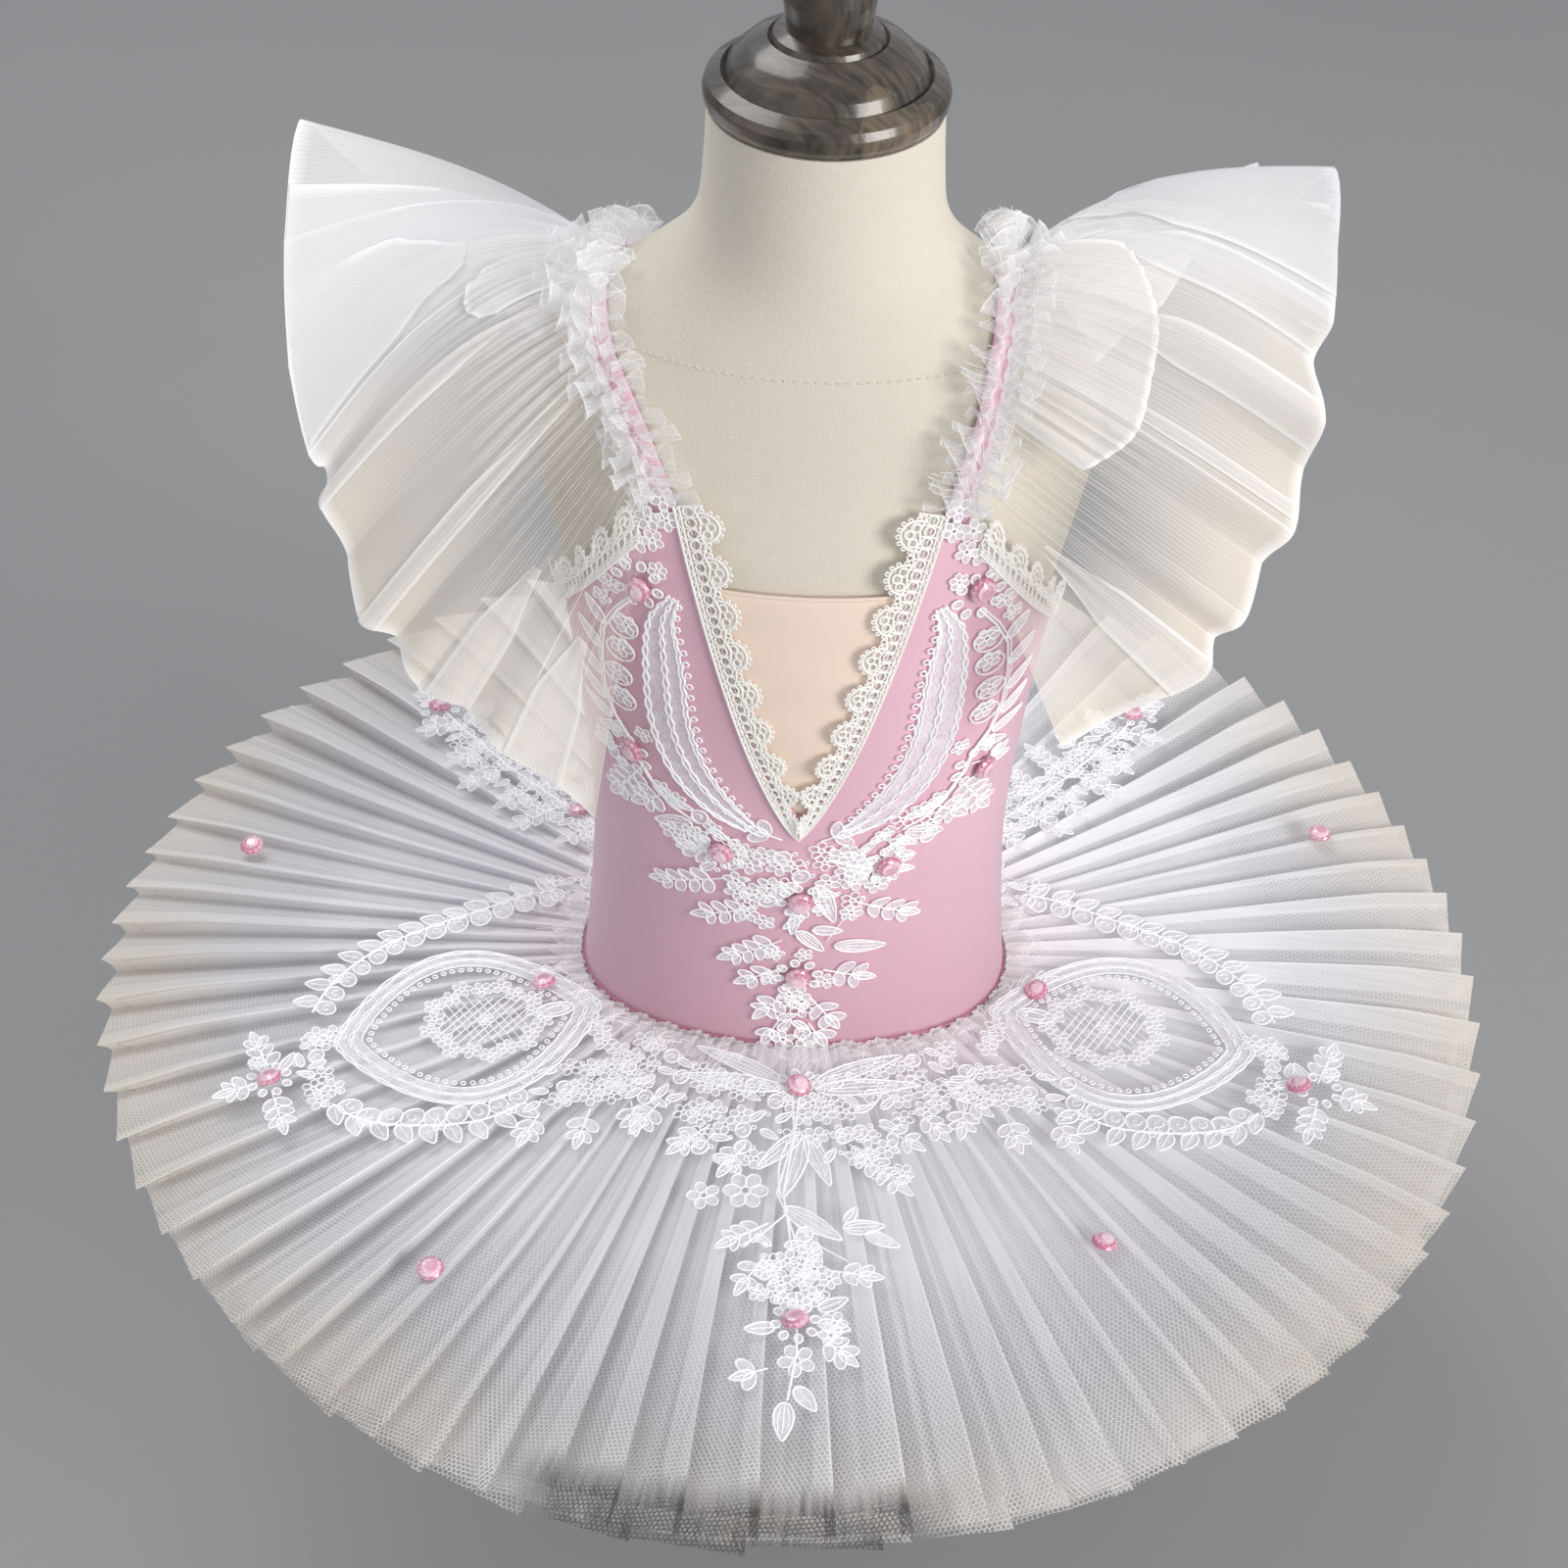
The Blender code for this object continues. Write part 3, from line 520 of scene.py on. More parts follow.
# %% Effect: woven cloth
weave, inside, outside = effect(
    "woven_cloth",
    {"Place": ("Vector", (0, 0, 0)), "Threads": ("Float", 20.0), "Slubs": ("Float", 0.5)},
    {"Height": "Float", "Thread": "Float"})
place, threads, slubs = (inside.outputs[k] for k in range(3))
turns = times(weave, threads, math.pi)
warp, weft = (maths(weave, "SINE", times(weave, axis(weave, place, k), turns))
              for k in (0, 1))
bumps = ramp(weave, times(weave, warp, weft), 0.5, 0.5)
ALONG_YARN, ALONG_WEFT = (6.0, 0.35, 1.0), (0.35, 6.0, 1.0)
yarns = [noise(weave, stretch(weave, place, by), 3.0, 2.0)
         for by in (ALONG_YARN, ALONG_WEFT)]
yarn = ramp(weave, maths(weave, "ADD", *yarns), slubs, maths(weave, "SUBTRACT", 0.5, slubs))
feed(weave, times(weave, bumps, yarn), outside.inputs["Height"])
feed(weave, yarn, outside.inputs["Thread"])
print("effect:", weave.name)

# %% [markdown]
# Tulle is a net of six-sided holes. A honeycomb is two rows of points, one shifted by
# half a step: the nearer point owns the hole, and the thread runs where the distance
# from it, measured straight to a side of the cell, comes near to half a step.

# %% Effect: honeycomb net
honeycomb, inside, outside = effect(
    "honeycomb_net",
    {"Place": ("Vector", (0, 0, 0)), "Cells": ("Float", 5.0), "Thread": ("Float", 0.12)},
    {"Mask": "Float"})
place, cells, width = (inside.outputs[k] for k in range(3))
ROOT3 = math.sqrt(3)
THREAD_EDGE = 14.0           # how crisp the edge of a thread is
scaled = add(honeycomb, "VectorMath", stretch(honeycomb, place, (1, 1 / ROOT3, 0)),
             operation="SCALE")
feed(honeycomb, cells, scaled.inputs["Scale"])
nearest = []
for shift in (0.0, 0.5):
    moved = vectors(honeycomb, "ADD", scaled.outputs[0], (shift, shift, 0))
    inner = vectors(honeycomb, "SUBTRACT", vectors(honeycomb, "FRACTION", moved),
                    (0.5, 0.5, 0))
    nearest.append(stretch(honeycomb, inner, (1, ROOT3, 0)))
closer = maths(honeycomb, "LESS_THAN",
               *(vectors(honeycomb, "LENGTH", spot) for spot in nearest))
pick = add(honeycomb, "Mix", closer, data_type="VECTOR")
feed(honeycomb, nearest[1], pick.inputs[4])
feed(honeycomb, nearest[0], pick.inputs[5])
size = vectors(honeycomb, "ABSOLUTE", pick.outputs[1])
slanted = vectors(honeycomb, "DOT_PRODUCT", size, (0.5, ROOT3 / 2, 0))
side = maths(honeycomb, "MAXIMUM", slanted, axis(honeycomb, size, 0))
edge = maths(honeycomb, "SUBTRACT", 0.5, width)
feed(honeycomb, times(honeycomb, maths(honeycomb, "SUBTRACT", side, edge), THREAD_EDGE,
                      clamp=True), outside.inputs["Mask"])
print("effect:", honeycomb.name)

# %% [markdown]
# The wings are cut from a stiffer net with raised ribs, all running one way. The ribs
# are waves across the cut map, and the cloth between them is thinner.

# %% Effect: ribbed net
ribbed, inside, outside = effect(
    "ribbed_net",
    {"Place": ("Vector", (0, 0, 0)), "Ribs": ("Float", 6.0)},
    {"Mask": "Float", "Height": "Float"})
place, ribs = (inside.outputs[k] for k in range(2))
RIB_WANDER, RIB_SHARP, CROSS_THREADS, RIB_SHARE = 0.16, 2.2, 90.0, 0.75
bent = ramp(ribbed, noise(ribbed, stretch(ribbed, place, (0.6, 0.25, 1)), 2.0, 2.0),
            RIB_WANDER, axis(ribbed, place, 0))
wave = maths(ribbed, "SINE", times(ribbed, times(ribbed, bent, ribs), 2 * math.pi))
rib = maths(ribbed, "POWER", ramp(ribbed, wave, 0.5, 0.5), RIB_SHARP)
cross = maths(ribbed, "SINE", times(ribbed, axis(ribbed, place, 1), CROSS_THREADS))
cross = times(ribbed, ramp(ribbed, cross, 0.5, 0.5), 1 - RIB_SHARE)
feed(ribbed, ramp(ribbed, rib, RIB_SHARE, cross), outside.inputs["Mask"])
feed(ribbed, rib, outside.inputs["Height"])
print("effect:", ribbed.name)

# %% [markdown]
# Embroidery thread and cotton cord are twisted from fine strands. At arm's length that
# shows as tiny light and dark flecks, so this effect is a fine noise, pulled into
# short strokes, with a height for the bump and a tone for the colour.

# %% Effect: twisted thread
twist, inside, outside = effect(
    "twisted_thread",
    {"Place": ("Vector", (0, 0, 0)), "Strands": ("Float", 900.0)},
    {"Height": "Float", "Tone": "Float"})
place, strands = (inside.outputs[k] for k in range(2))
STROKE, BROAD_SCALE, STROKE_SHARE = (1.0, 1.6, 0.7), 160.0, 0.6
strokes = noise(twist, stretch(twist, place, STROKE), strands, 2.0)
broad = times(twist, noise(twist, place, BROAD_SCALE, 1.0), 1 - STROKE_SHARE)
feed(twist, strokes, outside.inputs["Height"])
feed(twist, ramp(twist, strokes, STROKE_SHARE, broad), outside.inputs["Tone"])
print("effect:", twist.name)

# %% [markdown]
# ## Finishes
# The linen is a plain weave, unbleached, a little uneven in tone. The satin is a
# stretch knit: much finer, with a soft sheen that catches the light at the sides. A
# pair of numbers with a name, such as WAIST_SHADE_RAMP, is the slope and start of a ramp.

# %% Finish: linen, satin and the flesh-coloured insert
THREAD_TONE = (1.5, -0.35)
CREAM_DARK, CREAM, AGED = (0.73, 0.665, 0.55), (0.90, 0.85, 0.75), (0.66, 0.59, 0.48)
AGED_SHARE = 0.30

linen, tree, shader = finish_for("linen", (0.72, 0.66, 0.54), 0.92, Sheen_Weight=0.15)
threads = use(tree, weave, Place=cut_map(tree), Threads=17.0, Slubs=0.55)
cream = two_tone(tree, ramp(tree, threads["Thread"], *THREAD_TONE, clamp=True),
                 CREAM_DARK, CREAM)
patches = times(tree, noise(tree, own_place(tree), 9.0, 3.0), AGED_SHARE)
feed(tree, two_tone(tree, patches, cream, AGED), shader.inputs["Base Color"])
raised(tree, shader, threads["Height"], 0.0005, 0.6)

WAIST_SHADE_RAMP = (-9.0, 3.9)       # 0 at 43 cm up, 1 at 32 cm: painted shade, the satin darker there
PAINTED_WAIST_SHADE, DRIFT_SHARE, GLOSS_DRIFT = 0.84, 0.6, 0.16


def stretch_cloth(name, light, dark, roughness, sheen):
    """A fine knit: its colour and gloss drift, and painted shade darkens it towards the
    waist.
    """
    made, tree, shader = finish_for(name, light, roughness, Sheen_Weight=sheen,
                                    Sheen_Roughness=0.35)
    place = own_place(tree)
    knit = use(tree, weave, Place=cut_map(tree), Threads=34.0, Slubs=0.4)
    drift = noise(tree, place, 14.0, 3.0)
    share = ramp(tree, knit["Thread"], 0.5, times(tree, drift, DRIFT_SHARE), clamp=True)
    # Painted shade: the colour darkens towards the waist.
    low = ramp(tree, axis(tree, place, 2), *WAIST_SHADE_RAMP, clamp=True)
    plain = two_tone(tree, share, dark, light)
    feed(tree, two_tone(tree, low, plain, [PAINTED_WAIST_SHADE * c for c in dark]),
         shader.inputs["Base Color"])
    feed(tree, ramp(tree, drift, GLOSS_DRIFT, roughness - GLOSS_DRIFT / 2),
         shader.inputs["Roughness"])
    raised(tree, shader, knit["Height"], 0.0002, 0.35)
    return made


satin = stretch_cloth("pink_satin", (0.84, 0.53, 0.63), (0.76, 0.45, 0.55), 0.42, 0.35)
# The piping's deeper pink is painted shade: the shadow along the join.
piping = stretch_cloth("pink_shade_piping", (0.70, 0.30, 0.42), (0.58, 0.22, 0.33), 0.5, 0.2)
insert = stretch_cloth("nude_stretch", (0.92, 0.77, 0.65), (0.86, 0.69, 0.57), 0.65, 0.2)
print("cloth finishes:", satin.name, piping.name, insert.name)

# %% [markdown]
# Net is mostly holes. The thread is a matt white, and the alpha is the honeycomb: one
# where a thread runs and little in a hole, where the finest fibres still show as a
# haze. The haze closes up towards the waist, where the net is taken in, and at the
# sides and back, where it is seen nearly edge on; it opens at the rim, most of all in
# front. An attribute called doubled says where the net lies on itself, at a fold: it
# hides more there and is whiter. The outer net carries painted shade, most at the
# sides, a warm tint sits in patches at the rim, and the very front of the rim has a
# painted shadow, near black: the dark beneath the skirt, seen through the net. Thin
# net also lets light through from behind, which a very weak glow stands for.

# %% Finish: net
STRANDS = (2.6, 0.09, 1)         # long streaks that run from waist to rim
TO_FRONT = (-6.0, -0.55)         # by depth: 0 at 9 cm before the middle, 1 at 26 cm
NOT_FRONT = (-0.75, 0.75)
TAKEN_IN = (-0.115, 2.25)        # by length from the waist: closed up to 11 cm out
STRAND_HAZE, HAZE_START, TAKEN_HAZE, DOUBLED_HAZE = 0.38, -0.12, 0.80, 0.50
RIM_EDGE = (42.0, -11.85)        # by radius: 0 at 28.2 cm, 1 at 30.6 cm
RIM_OPEN = (-0.80, -0.05)
# Painted shadow at the front of the rim: the dark beneath the skirt, seen through the net.
SHADOW_MIDDLE_X, SHADOW_ACROSS = 0.016, (-40.0, 3.6)      # 1 up to 6.5 cm off, 0 at 9 cm
SHADOW_STRANDS, SHADOW_OUT = (1.5, -22.05), 75.0          # by radius: from 28.4 cm on
FAR_OUT, WARM_CLOUDS = (15.0, -3.65), (2.2, -0.30)
OUTER, OUTER_SIDES = (4.0, -0.60), (-0.9, 0.75)
WHITER_STRANDS, NEAR_WAIST = (0.7, -0.30), (-0.11, 0.52)
PAINTED_SHADE_NET, WARM_NET, PAINTED_SHADOW_NET, WAIST_NET = (
    (0.50, 0.485, 0.48), (0.72, 0.65, 0.55), (0.03, 0.026, 0.025), (0.90, 0.74, 0.80))
MESH_CELLS, MESH_THREAD, WARM_SHARE = 4.8, 0.12, 0.8


def net_finish(name, rim_haze, light, dark):
    made, tree, shader = finish_for(name, light, 0.85, glow=0.05)
    flat, place = cut_map(tree), own_place(tree)
    away = axis(tree, flat, 1)
    radius = vectors(tree, "LENGTH", stretch(tree, place, (1, 1, 0)))
    doubled = attribute(tree, "doubled")
    strands = noise(tree, stretch(tree, flat, STRANDS), 1.6, 3.0)
    front = ramp(tree, axis(tree, place, 1), *TO_FRONT, clamp=True)

    taken_in = maths(tree, "MAXIMUM", ramp(tree, away, *TAKEN_IN, clamp=True),
                     ramp(tree, front, *NOT_FRONT))
    haze = ramp(tree, taken_in, TAKEN_HAZE,
                ramp(tree, strands, STRAND_HAZE, rim_haze + HAZE_START))
    haze = ramp(tree, doubled, DOUBLED_HAZE, haze, clamp=True)
    open_rim = times(tree, ramp(tree, radius, *RIM_EDGE, clamp=True),
                     ramp(tree, front, *RIM_OPEN))
    haze = ramp(tree, haze, open_rim, haze, clamp=True)
    mesh = use(tree, honeycomb, Place=flat, Cells=MESH_CELLS, Thread=MESH_THREAD)["Mask"]
    feed(tree, ramp(tree, mesh, maths(tree, "SUBTRACT", 1.0, haze), haze),
         shader.inputs["Alpha"])

    whiter = maths(tree, "ADD", doubled, ramp(tree, strands, *WHITER_STRANDS), clamp=True)
    tint = two_tone(tree, whiter, dark, light)
    # Painted shade: the outer net darkens, most at the sides.
    shaded = times(tree, ramp(tree, radius, *OUTER, clamp=True),
                   ramp(tree, front, *OUTER_SIDES, clamp=True))
    tint = two_tone(tree, shaded, tint, PAINTED_SHADE_NET)
    clouds = ramp(tree, noise(tree, place, 7.0, 2.0), *WARM_CLOUDS, clamp=True)
    warm = times(tree, ramp(tree, radius, *FAR_OUT, clamp=True), clouds)
    tint = two_tone(tree, times(tree, warm, WARM_SHARE), tint, WARM_NET)
    # Painted shadow: the front of the rim goes near black in patches.
    off = maths(tree, "ABSOLUTE", maths(tree, "ADD", axis(tree, place, 0), SHADOW_MIDDLE_X))
    near_middle = times(tree, front, ramp(tree, off, *SHADOW_ACROSS, clamp=True))
    shadow_out = ramp(tree, radius, SHADOW_OUT, ramp(tree, strands, *SHADOW_STRANDS), clamp=True)
    tint = two_tone(tree, times(tree, near_middle, shadow_out), tint, PAINTED_SHADOW_NET)
    waist = ramp(tree, away, *NEAR_WAIST, clamp=True)
    feed(tree, two_tone(tree, waist, tint, WAIST_NET), shader.inputs["Base Color"])
    return made


skirt_net = net_finish("white_net", 0.0, (0.96, 0.96, 0.975), (0.70, 0.695, 0.725))
# The lining is the same white net in darker colours: painted shade, for net that lies under
# another.
lining_net = net_finish("lining_net", 0.02, (0.74, 0.735, 0.76), (0.56, 0.555, 0.585))

SHEER_LOW, SHEER_SPAN, DOUBLED_HIDES = -0.34, 0.16, 0.42
BEIGE_CLOUDS = (1.1, 0.42)
PLAIN_RIB, BEIGE_RIB, WHITE_RIB = (
    (0.83, 0.83, 0.84), (0.88, 0.77, 0.64), (0.97, 0.97, 0.975))


def ribbed_finish(name, thin, thick, ribs, glow):
    """Stiff ribbed net: `thin` and `thick` are how much it hides between and on ribs.

    Three attributes steer it. Where sheer rises to 1 the gaps between ribs open, where
    warm rises the net is beige, and where doubled rises it is white and hides most.
    """
    made, tree, shader = finish_for(name, (0.93, 0.93, 0.95), 0.7, glow=glow,
                                    Sheen_Weight=0.15)
    lines = use(tree, ribbed, Place=cut_map(tree), Ribs=ribs)
    sheer, doubled, warm = (attribute(tree, label)
                            for label in ("sheer", "doubled", "warm"))
    single = ramp(tree, lines["Mask"], ramp(tree, sheer, SHEER_SPAN, thick - thin),
                  ramp(tree, sheer, SHEER_LOW, thin))
    feed(tree, ramp(tree, doubled, DOUBLED_HIDES, single, clamp=True),
         shader.inputs["Alpha"])
    clouds = ramp(tree, noise(tree, own_place(tree), 6.0, 2.0), *BEIGE_CLOUDS, clamp=True)
    plain = two_tone(tree, times(tree, clouds, warm), PLAIN_RIB, BEIGE_RIB)
    feed(tree, two_tone(tree, doubled, plain, WHITE_RIB), shader.inputs["Base Color"])
    raised(tree, shader, lines["Height"], 0.0001, 0.25)
    return made


wing_net = ribbed_finish("ribbed_net", 0.66, 0.74, 5.4, 0.08)
folded_net = ribbed_finish("folded_net", 0.60, 0.70, 5.4, 0.08)
gathered_net = ribbed_finish("gathered_net", 0.24, 0.40, 5.0, 0.14)
print("net finishes:", skirt_net.name, wing_net.name, gathered_net.name)

# %% [markdown]
# The lace is matt cotton, a little creamy. The applique is shiny white thread on a
# scrap of organza, so its petals let some of the cloth below show through.

# %% Finish: lace, embroidery and stones
FLECK_TONE, FLECK_ALPHA = (2.2, -0.6), 0.9


def thread_finish(name, light, dark, roughness, glow, alpha=None):
    made, tree, shader = finish_for(name, light, roughness, glow=glow, Sheen_Weight=0.2)
    flecks = use(tree, twist, Place=own_place(tree))
    share = ramp(tree, flecks["Tone"], *FLECK_TONE, clamp=True)
    feed(tree, two_tone(tree, share, dark, light), shader.inputs["Base Color"])
    if alpha:
        feed(tree, ramp(tree, flecks["Tone"], FLECK_ALPHA, alpha - FLECK_ALPHA / 2,
                        clamp=True), shader.inputs["Alpha"])
    raised(tree, shader, flecks["Height"], 0.0003, 0.6)
    return made


# Cotton and thread carry a weak glow: painted light that keeps them white in shade.
cotton = thread_finish("lace_cotton", (0.97, 0.955, 0.92), (0.84, 0.81, 0.75), 0.85, 0.1)
embroidery = thread_finish("embroidery_thread", (1.0, 1.0, 1.0), (0.92, 0.92, 0.94),
                           0.5, 0.12)
organza = thread_finish("petal_organza", (0.96, 0.95, 0.98), (0.88, 0.86, 0.92), 0.6,
                        0.06, alpha=0.52)
sheer_band = thread_finish("band_organza", (0.92, 0.91, 0.96), (0.84, 0.82, 0.89), 0.6,
                           0.1, alpha=0.60)

lace_ground, tree, shader = finish_for("lace_ground", (0.88, 0.86, 0.80), 0.9)
holes = use(tree, honeycomb, Place=cut_map(tree), Cells=5.0, Thread=0.20)["Mask"]
feed(tree, ramp(tree, holes, 0.90, 0.05), shader.inputs["Alpha"])
flecks = use(tree, twist, Place=own_place(tree))["Tone"]
feed(tree, two_tone(tree, flecks, (0.72, 0.69, 0.62), (0.94, 0.92, 0.87)),
     shader.inputs["Base Color"])

crystal, tree, shader = finish_for("pink_crystal", (0.85, 0.35, 0.48), 0.10,
                                   Coat_Weight=1.0, Coat_Roughness=0.03)
# The facet tones are painted reflections.
feed(tree, two_tone(tree, attribute(tree, "facet_reflection"), (0.60, 0.19, 0.31),
                    (0.98, 0.72, 0.80)), shader.inputs["Base Color"])
print("thread and stone finishes:", cotton.name, embroidery.name, crystal.name)

# %% [markdown]
# The wood is glued up from blocks, stained dark and lacquered. Each block takes the
# stain its own way, some staying tan and some going nearly black, so block edges show,
# and a fine mottle makes those edges ragged. The grain is that mottle with long
# streaks. The lacquer is the shader's coat.

# %% Finish: turned wood
BLOCKS = 34.0                # how small the blocks are
BLOCK_TURN, BLOCK_SQUEEZE = (0.2, 0.3, 0.5), (1.0, 1.0, 0.55)
RAGGED, LONG_STREAKS = (0.02, 0.02, 0.012), (40.0, 260.0, 60.0)
STREAK_GRAIN, MOTTLE_GRAIN = (2.2, -1.45), 1.6
TAN_BLOCKS, TAN_SHARE = (6.0, -4.3), 0.5
BLACK_BLOCKS, BLACK_SHARE = (-4.0, 1.1), 0.6
STAIN_DARK, STAIN, STAIN_BLACK = (
    (0.020, 0.015, 0.012), (0.125, 0.093, 0.063), (0.030, 0.026, 0.024))
TAN_DARK, TAN = (0.10, 0.075, 0.05), (0.30, 0.22, 0.135)

dark_wood, tree, shader = finish_for("dark_wood", (0.09, 0.07, 0.055), 0.32,
                                     Coat_Weight=0.7, Coat_Roughness=0.12)
place = own_place(tree)
turned_way = add(tree, "Mapping", place, None, BLOCK_TURN, BLOCK_SQUEEZE).outputs[0]
mottle = add(tree, "TexNoise", place, None, 75.0, 5.0).outputs
ragged = vectors(tree, "MULTIPLY_ADD", mottle["Color"], RAGGED, turned_way)
block = axis(tree, add(tree, "TexVoronoi", ragged, None, BLOCKS).outputs["Color"], 0)
streaks = noise(tree, stretch(tree, turned_way, LONG_STREAKS), 1.6, 5.0)
grain = maths(tree, "ADD", ramp(tree, streaks, *STREAK_GRAIN),
              times(tree, mottle[0], MOTTLE_GRAIN), clamp=True)
stain = two_tone(tree, times(tree, ramp(tree, block, *TAN_BLOCKS, clamp=True), TAN_SHARE),
                 two_tone(tree, grain, STAIN_DARK, STAIN),
                 two_tone(tree, grain, TAN_DARK, TAN))
black = times(tree, ramp(tree, block, *BLACK_BLOCKS, clamp=True), BLACK_SHARE)
feed(tree, two_tone(tree, black, stain, STAIN_BLACK), shader.inputs["Base Color"])
pores = noise(tree, place, 420.0, 2.0)
feed(tree, ramp(tree, pores, 0.25, 0.2), shader.inputs["Roughness"])
raised(tree, shader, maths(tree, "ADD", grain, pores), 0.0002, 0.35)
print("wood finish:", dark_wood.name)

# %% [markdown]
# ## The dress form
# The form is one smooth padded body under linen. A grid is wrapped round it, its two
# edges are merged into a back seam, and the ends are closed. The threads are measured
# from the centre front, so that they hang straight there. A row of dotted stitches
# goes round the base of the neck, where the neck cover is sewn to the shoulders.

# %% The linen body
ROUND, RINGS = 96, 130
heights = [mix(FORM_LOW_Z, NECK_TOP_Z, r / RINGS) for r in range(RINGS + 1)]
points = [[on_form(180 + 360.0 * c / ROUND, z) for z in heights] for c in range(ROUND)]
points.append(points[0])
body = cloth("form_linen", points, linen, panels=(ROUND // 2,), closed=True)
bm = bmesh.new()
bm.from_mesh(body.data)
rims = [e for e in bm.edges if e.is_boundary]
bmesh.ops.holes_fill(bm, edges=rims)
bm.to_mesh(body.data)
bm.free()
body.data.shade_smooth()
body.data.set_sharp_from_angle(angle=math.radians(60))
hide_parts("form_body")


NECK_SEAM_Z, NECK_SEAM_RISE = 64.1, 0.9
STITCHES, STITCH_TURNS, STITCH_OUT, STITCH_R = 150, (0.0, 0.55, 1.1), 0.015, 0.035


def neck_seam(turn):
    """Height of the neck seam: lower at the front."""
    return NECK_SEAM_Z + NECK_SEAM_RISE * (1 - math.cos(math.radians(turn))) / 2


stitches = []
for k in range(STITCHES):
    turn = 360.0 * k / STITCHES
    line = [on_form(turn + d, neck_seam(turn + d), STITCH_OUT) for d in STITCH_TURNS]
    stitches.append((line, STITCH_R, False))
cords("form_neck_stitches", stitches, linen)
print("form:", len(body.data.vertices), "points,", len(stitches), "stitches")

# %% [markdown]
# ## Turned wood
# The cap, base and pole come off a lathe, so each is a profile spun round the Z axis.
# The spin merges its last step with its first, and the poles are closed afterwards.

# %% Cap, base and pole
CAP_PROFILE = [
    (0, 72.43), (4.20, 72.43), (4.38, 72.75), (4.42, 73.1), (4.30, 73.45), (3.78, 73.75),
    (3.66, 73.62), (3.60, 73.75), (3.45, 74.15), (2.90, 74.65), (2.15, 75.0),
    (2.06, 74.9), (1.95, 75.15), (1.50, 75.3), (1.58, 75.9), (1.66, 76.5), (1.52, 77.3),
    (1.02, 78.3), (0.95, 78.7), (1.20, 79.3), (1.10, 79.9), (0.55, 80.3), (0, 80.3)]
BASE_PROFILE = [(0, 0.0), (9.7, 0.0), (10.0, 0.3), (10.0, 1.1), (9.5, 1.7), (6.0, 2.0),
                (3.0, 2.4), (2.3, 3.2), (1.9, 4.0), (0, 4.0)]
CREASES = {(4.20, 72.43), (3.66, 73.62), (2.06, 74.9), (1.50, 75.3), (9.7, 0.0),
           (9.5, 1.7), (1.9, 4.0)}


def rounded(profile):
    """The profile with points beside its corners, apart from the cut-in grooves."""
    line = []
    for before, here, after in zip(profile, profile[1:], profile[2:]):
        if here in CREASES:
            line.append(here)
            continue
        a, b, c = Vector(before), Vector(here), Vector(after)
        line += [tuple(b.lerp(a, 0.25) * 0.98 + b * 0.02), tuple(b),
                 tuple(b.lerp(c, 0.25) * 0.98 + b * 0.02)]
    return [profile[0]] + line + [profile[-1]]


def turned(name, profile, nodes, steps=64):
    bm = bmesh.new()
    verts = [bm.verts.new((r * CM, 0, z * CM)) for r, z in profile]
    edges = [bm.edges.new(pair) for pair in zip(verts, verts[1:])]
    bmesh.ops.spin(bm, geom=verts + edges, axis=(0, 0, 1), cent=(0, 0, 0), steps=steps,
                   angle=2 * math.pi, use_merge=True)
    bmesh.ops.remove_doubles(bm, verts=bm.verts, dist=1e-6)
    bmesh.ops.recalc_face_normals(bm, faces=bm.faces)
    made = show(name, bm, dark_wood, 35)
    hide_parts(*nodes)
    return made


cap = turned("neck_cap_wood", rounded(CAP_PROFILE), ["form_cap"])
base = turned("stand_base_wood", rounded(BASE_PROFILE), ["stand_base"], 96)
pole = turned("stand_pole_wood", [(0, 4.03), (1.15, 4.03), (1.2, 4.1), (1.2, 19.4),
                                  (1.15, 19.47), (0, 19.47)], ["stand_pole"], 40)
print("wood:", cap.name, base.name, pole.name)

# %% [markdown]
# ## Bodice
# The bodice front is one panel of satin, deep V in the middle, with a flesh-coloured
# insert behind the V. Its columns run straight up from the skirt to the top edge, and
# the rows share out the height. Stretch satin on a body shows only a few soft pulls,
# so each crease is listed, with its own length, depth and slant.

# %% Edges of the bodice
V_POINT_Z, V_HALF_W, V_CURVE = 45.6, 4.1, 0.75
STRAP_FOOT_Z, INSERT_TOP_Z, ARMHOLE_TURN, SIDE_TOP_Z = 58.5, 55.9, 32.6, 51.4
BACK_LOW_Z, BACK_STRAP_TURN, BACK_STRAP_Z = 47.5, 142.0, 50.2
JOIN_FRONT_Z, JOIN_SIDE_Z, JOIN_BACK_Z = 31.9, 30.5, 30.7


def join_height(turn):
    """Height of the seam between bodice and skirt."""
    share = (1 + math.cos(math.radians(turn))) / 2
    if share >= 0.5:
        return mix(JOIN_SIDE_Z, JOIN_FRONT_Z, (2 * share - 1) ** 2)
    return mix(JOIN_SIDE_Z, JOIN_BACK_Z, (1 - 2 * share) ** 2)


def v_edge(z):
    """Half width of the satin's V at this height."""
    return V_HALF_W * ((z - V_POINT_Z) / (STRAP_FOOT_Z - V_POINT_Z)) ** V_CURVE


def armhole(share):
    """Turn and height of the armhole edge, from the strap's foot to the side seam."""
    return (mix(ARMHOLE_TURN, 89.9, share),
            mix(SIDE_TOP_Z, STRAP_FOOT_Z - 0.2, (1 - share) ** 1.5))


def back_top(turn):
    """Top edge of the back: up at the side seams and the straps, scooped between."""
    away, strap_away = abs(180.0 - turn), 180.0 - BACK_STRAP_TURN
    if away <= strap_away:
        return mix(BACK_LOW_Z, BACK_STRAP_Z, (away / strap_away) ** 2)
    return mix(BACK_STRAP_Z, SIDE_TOP_Z, ((away - strap_away) / (90.0 - strap_away)) ** 2)


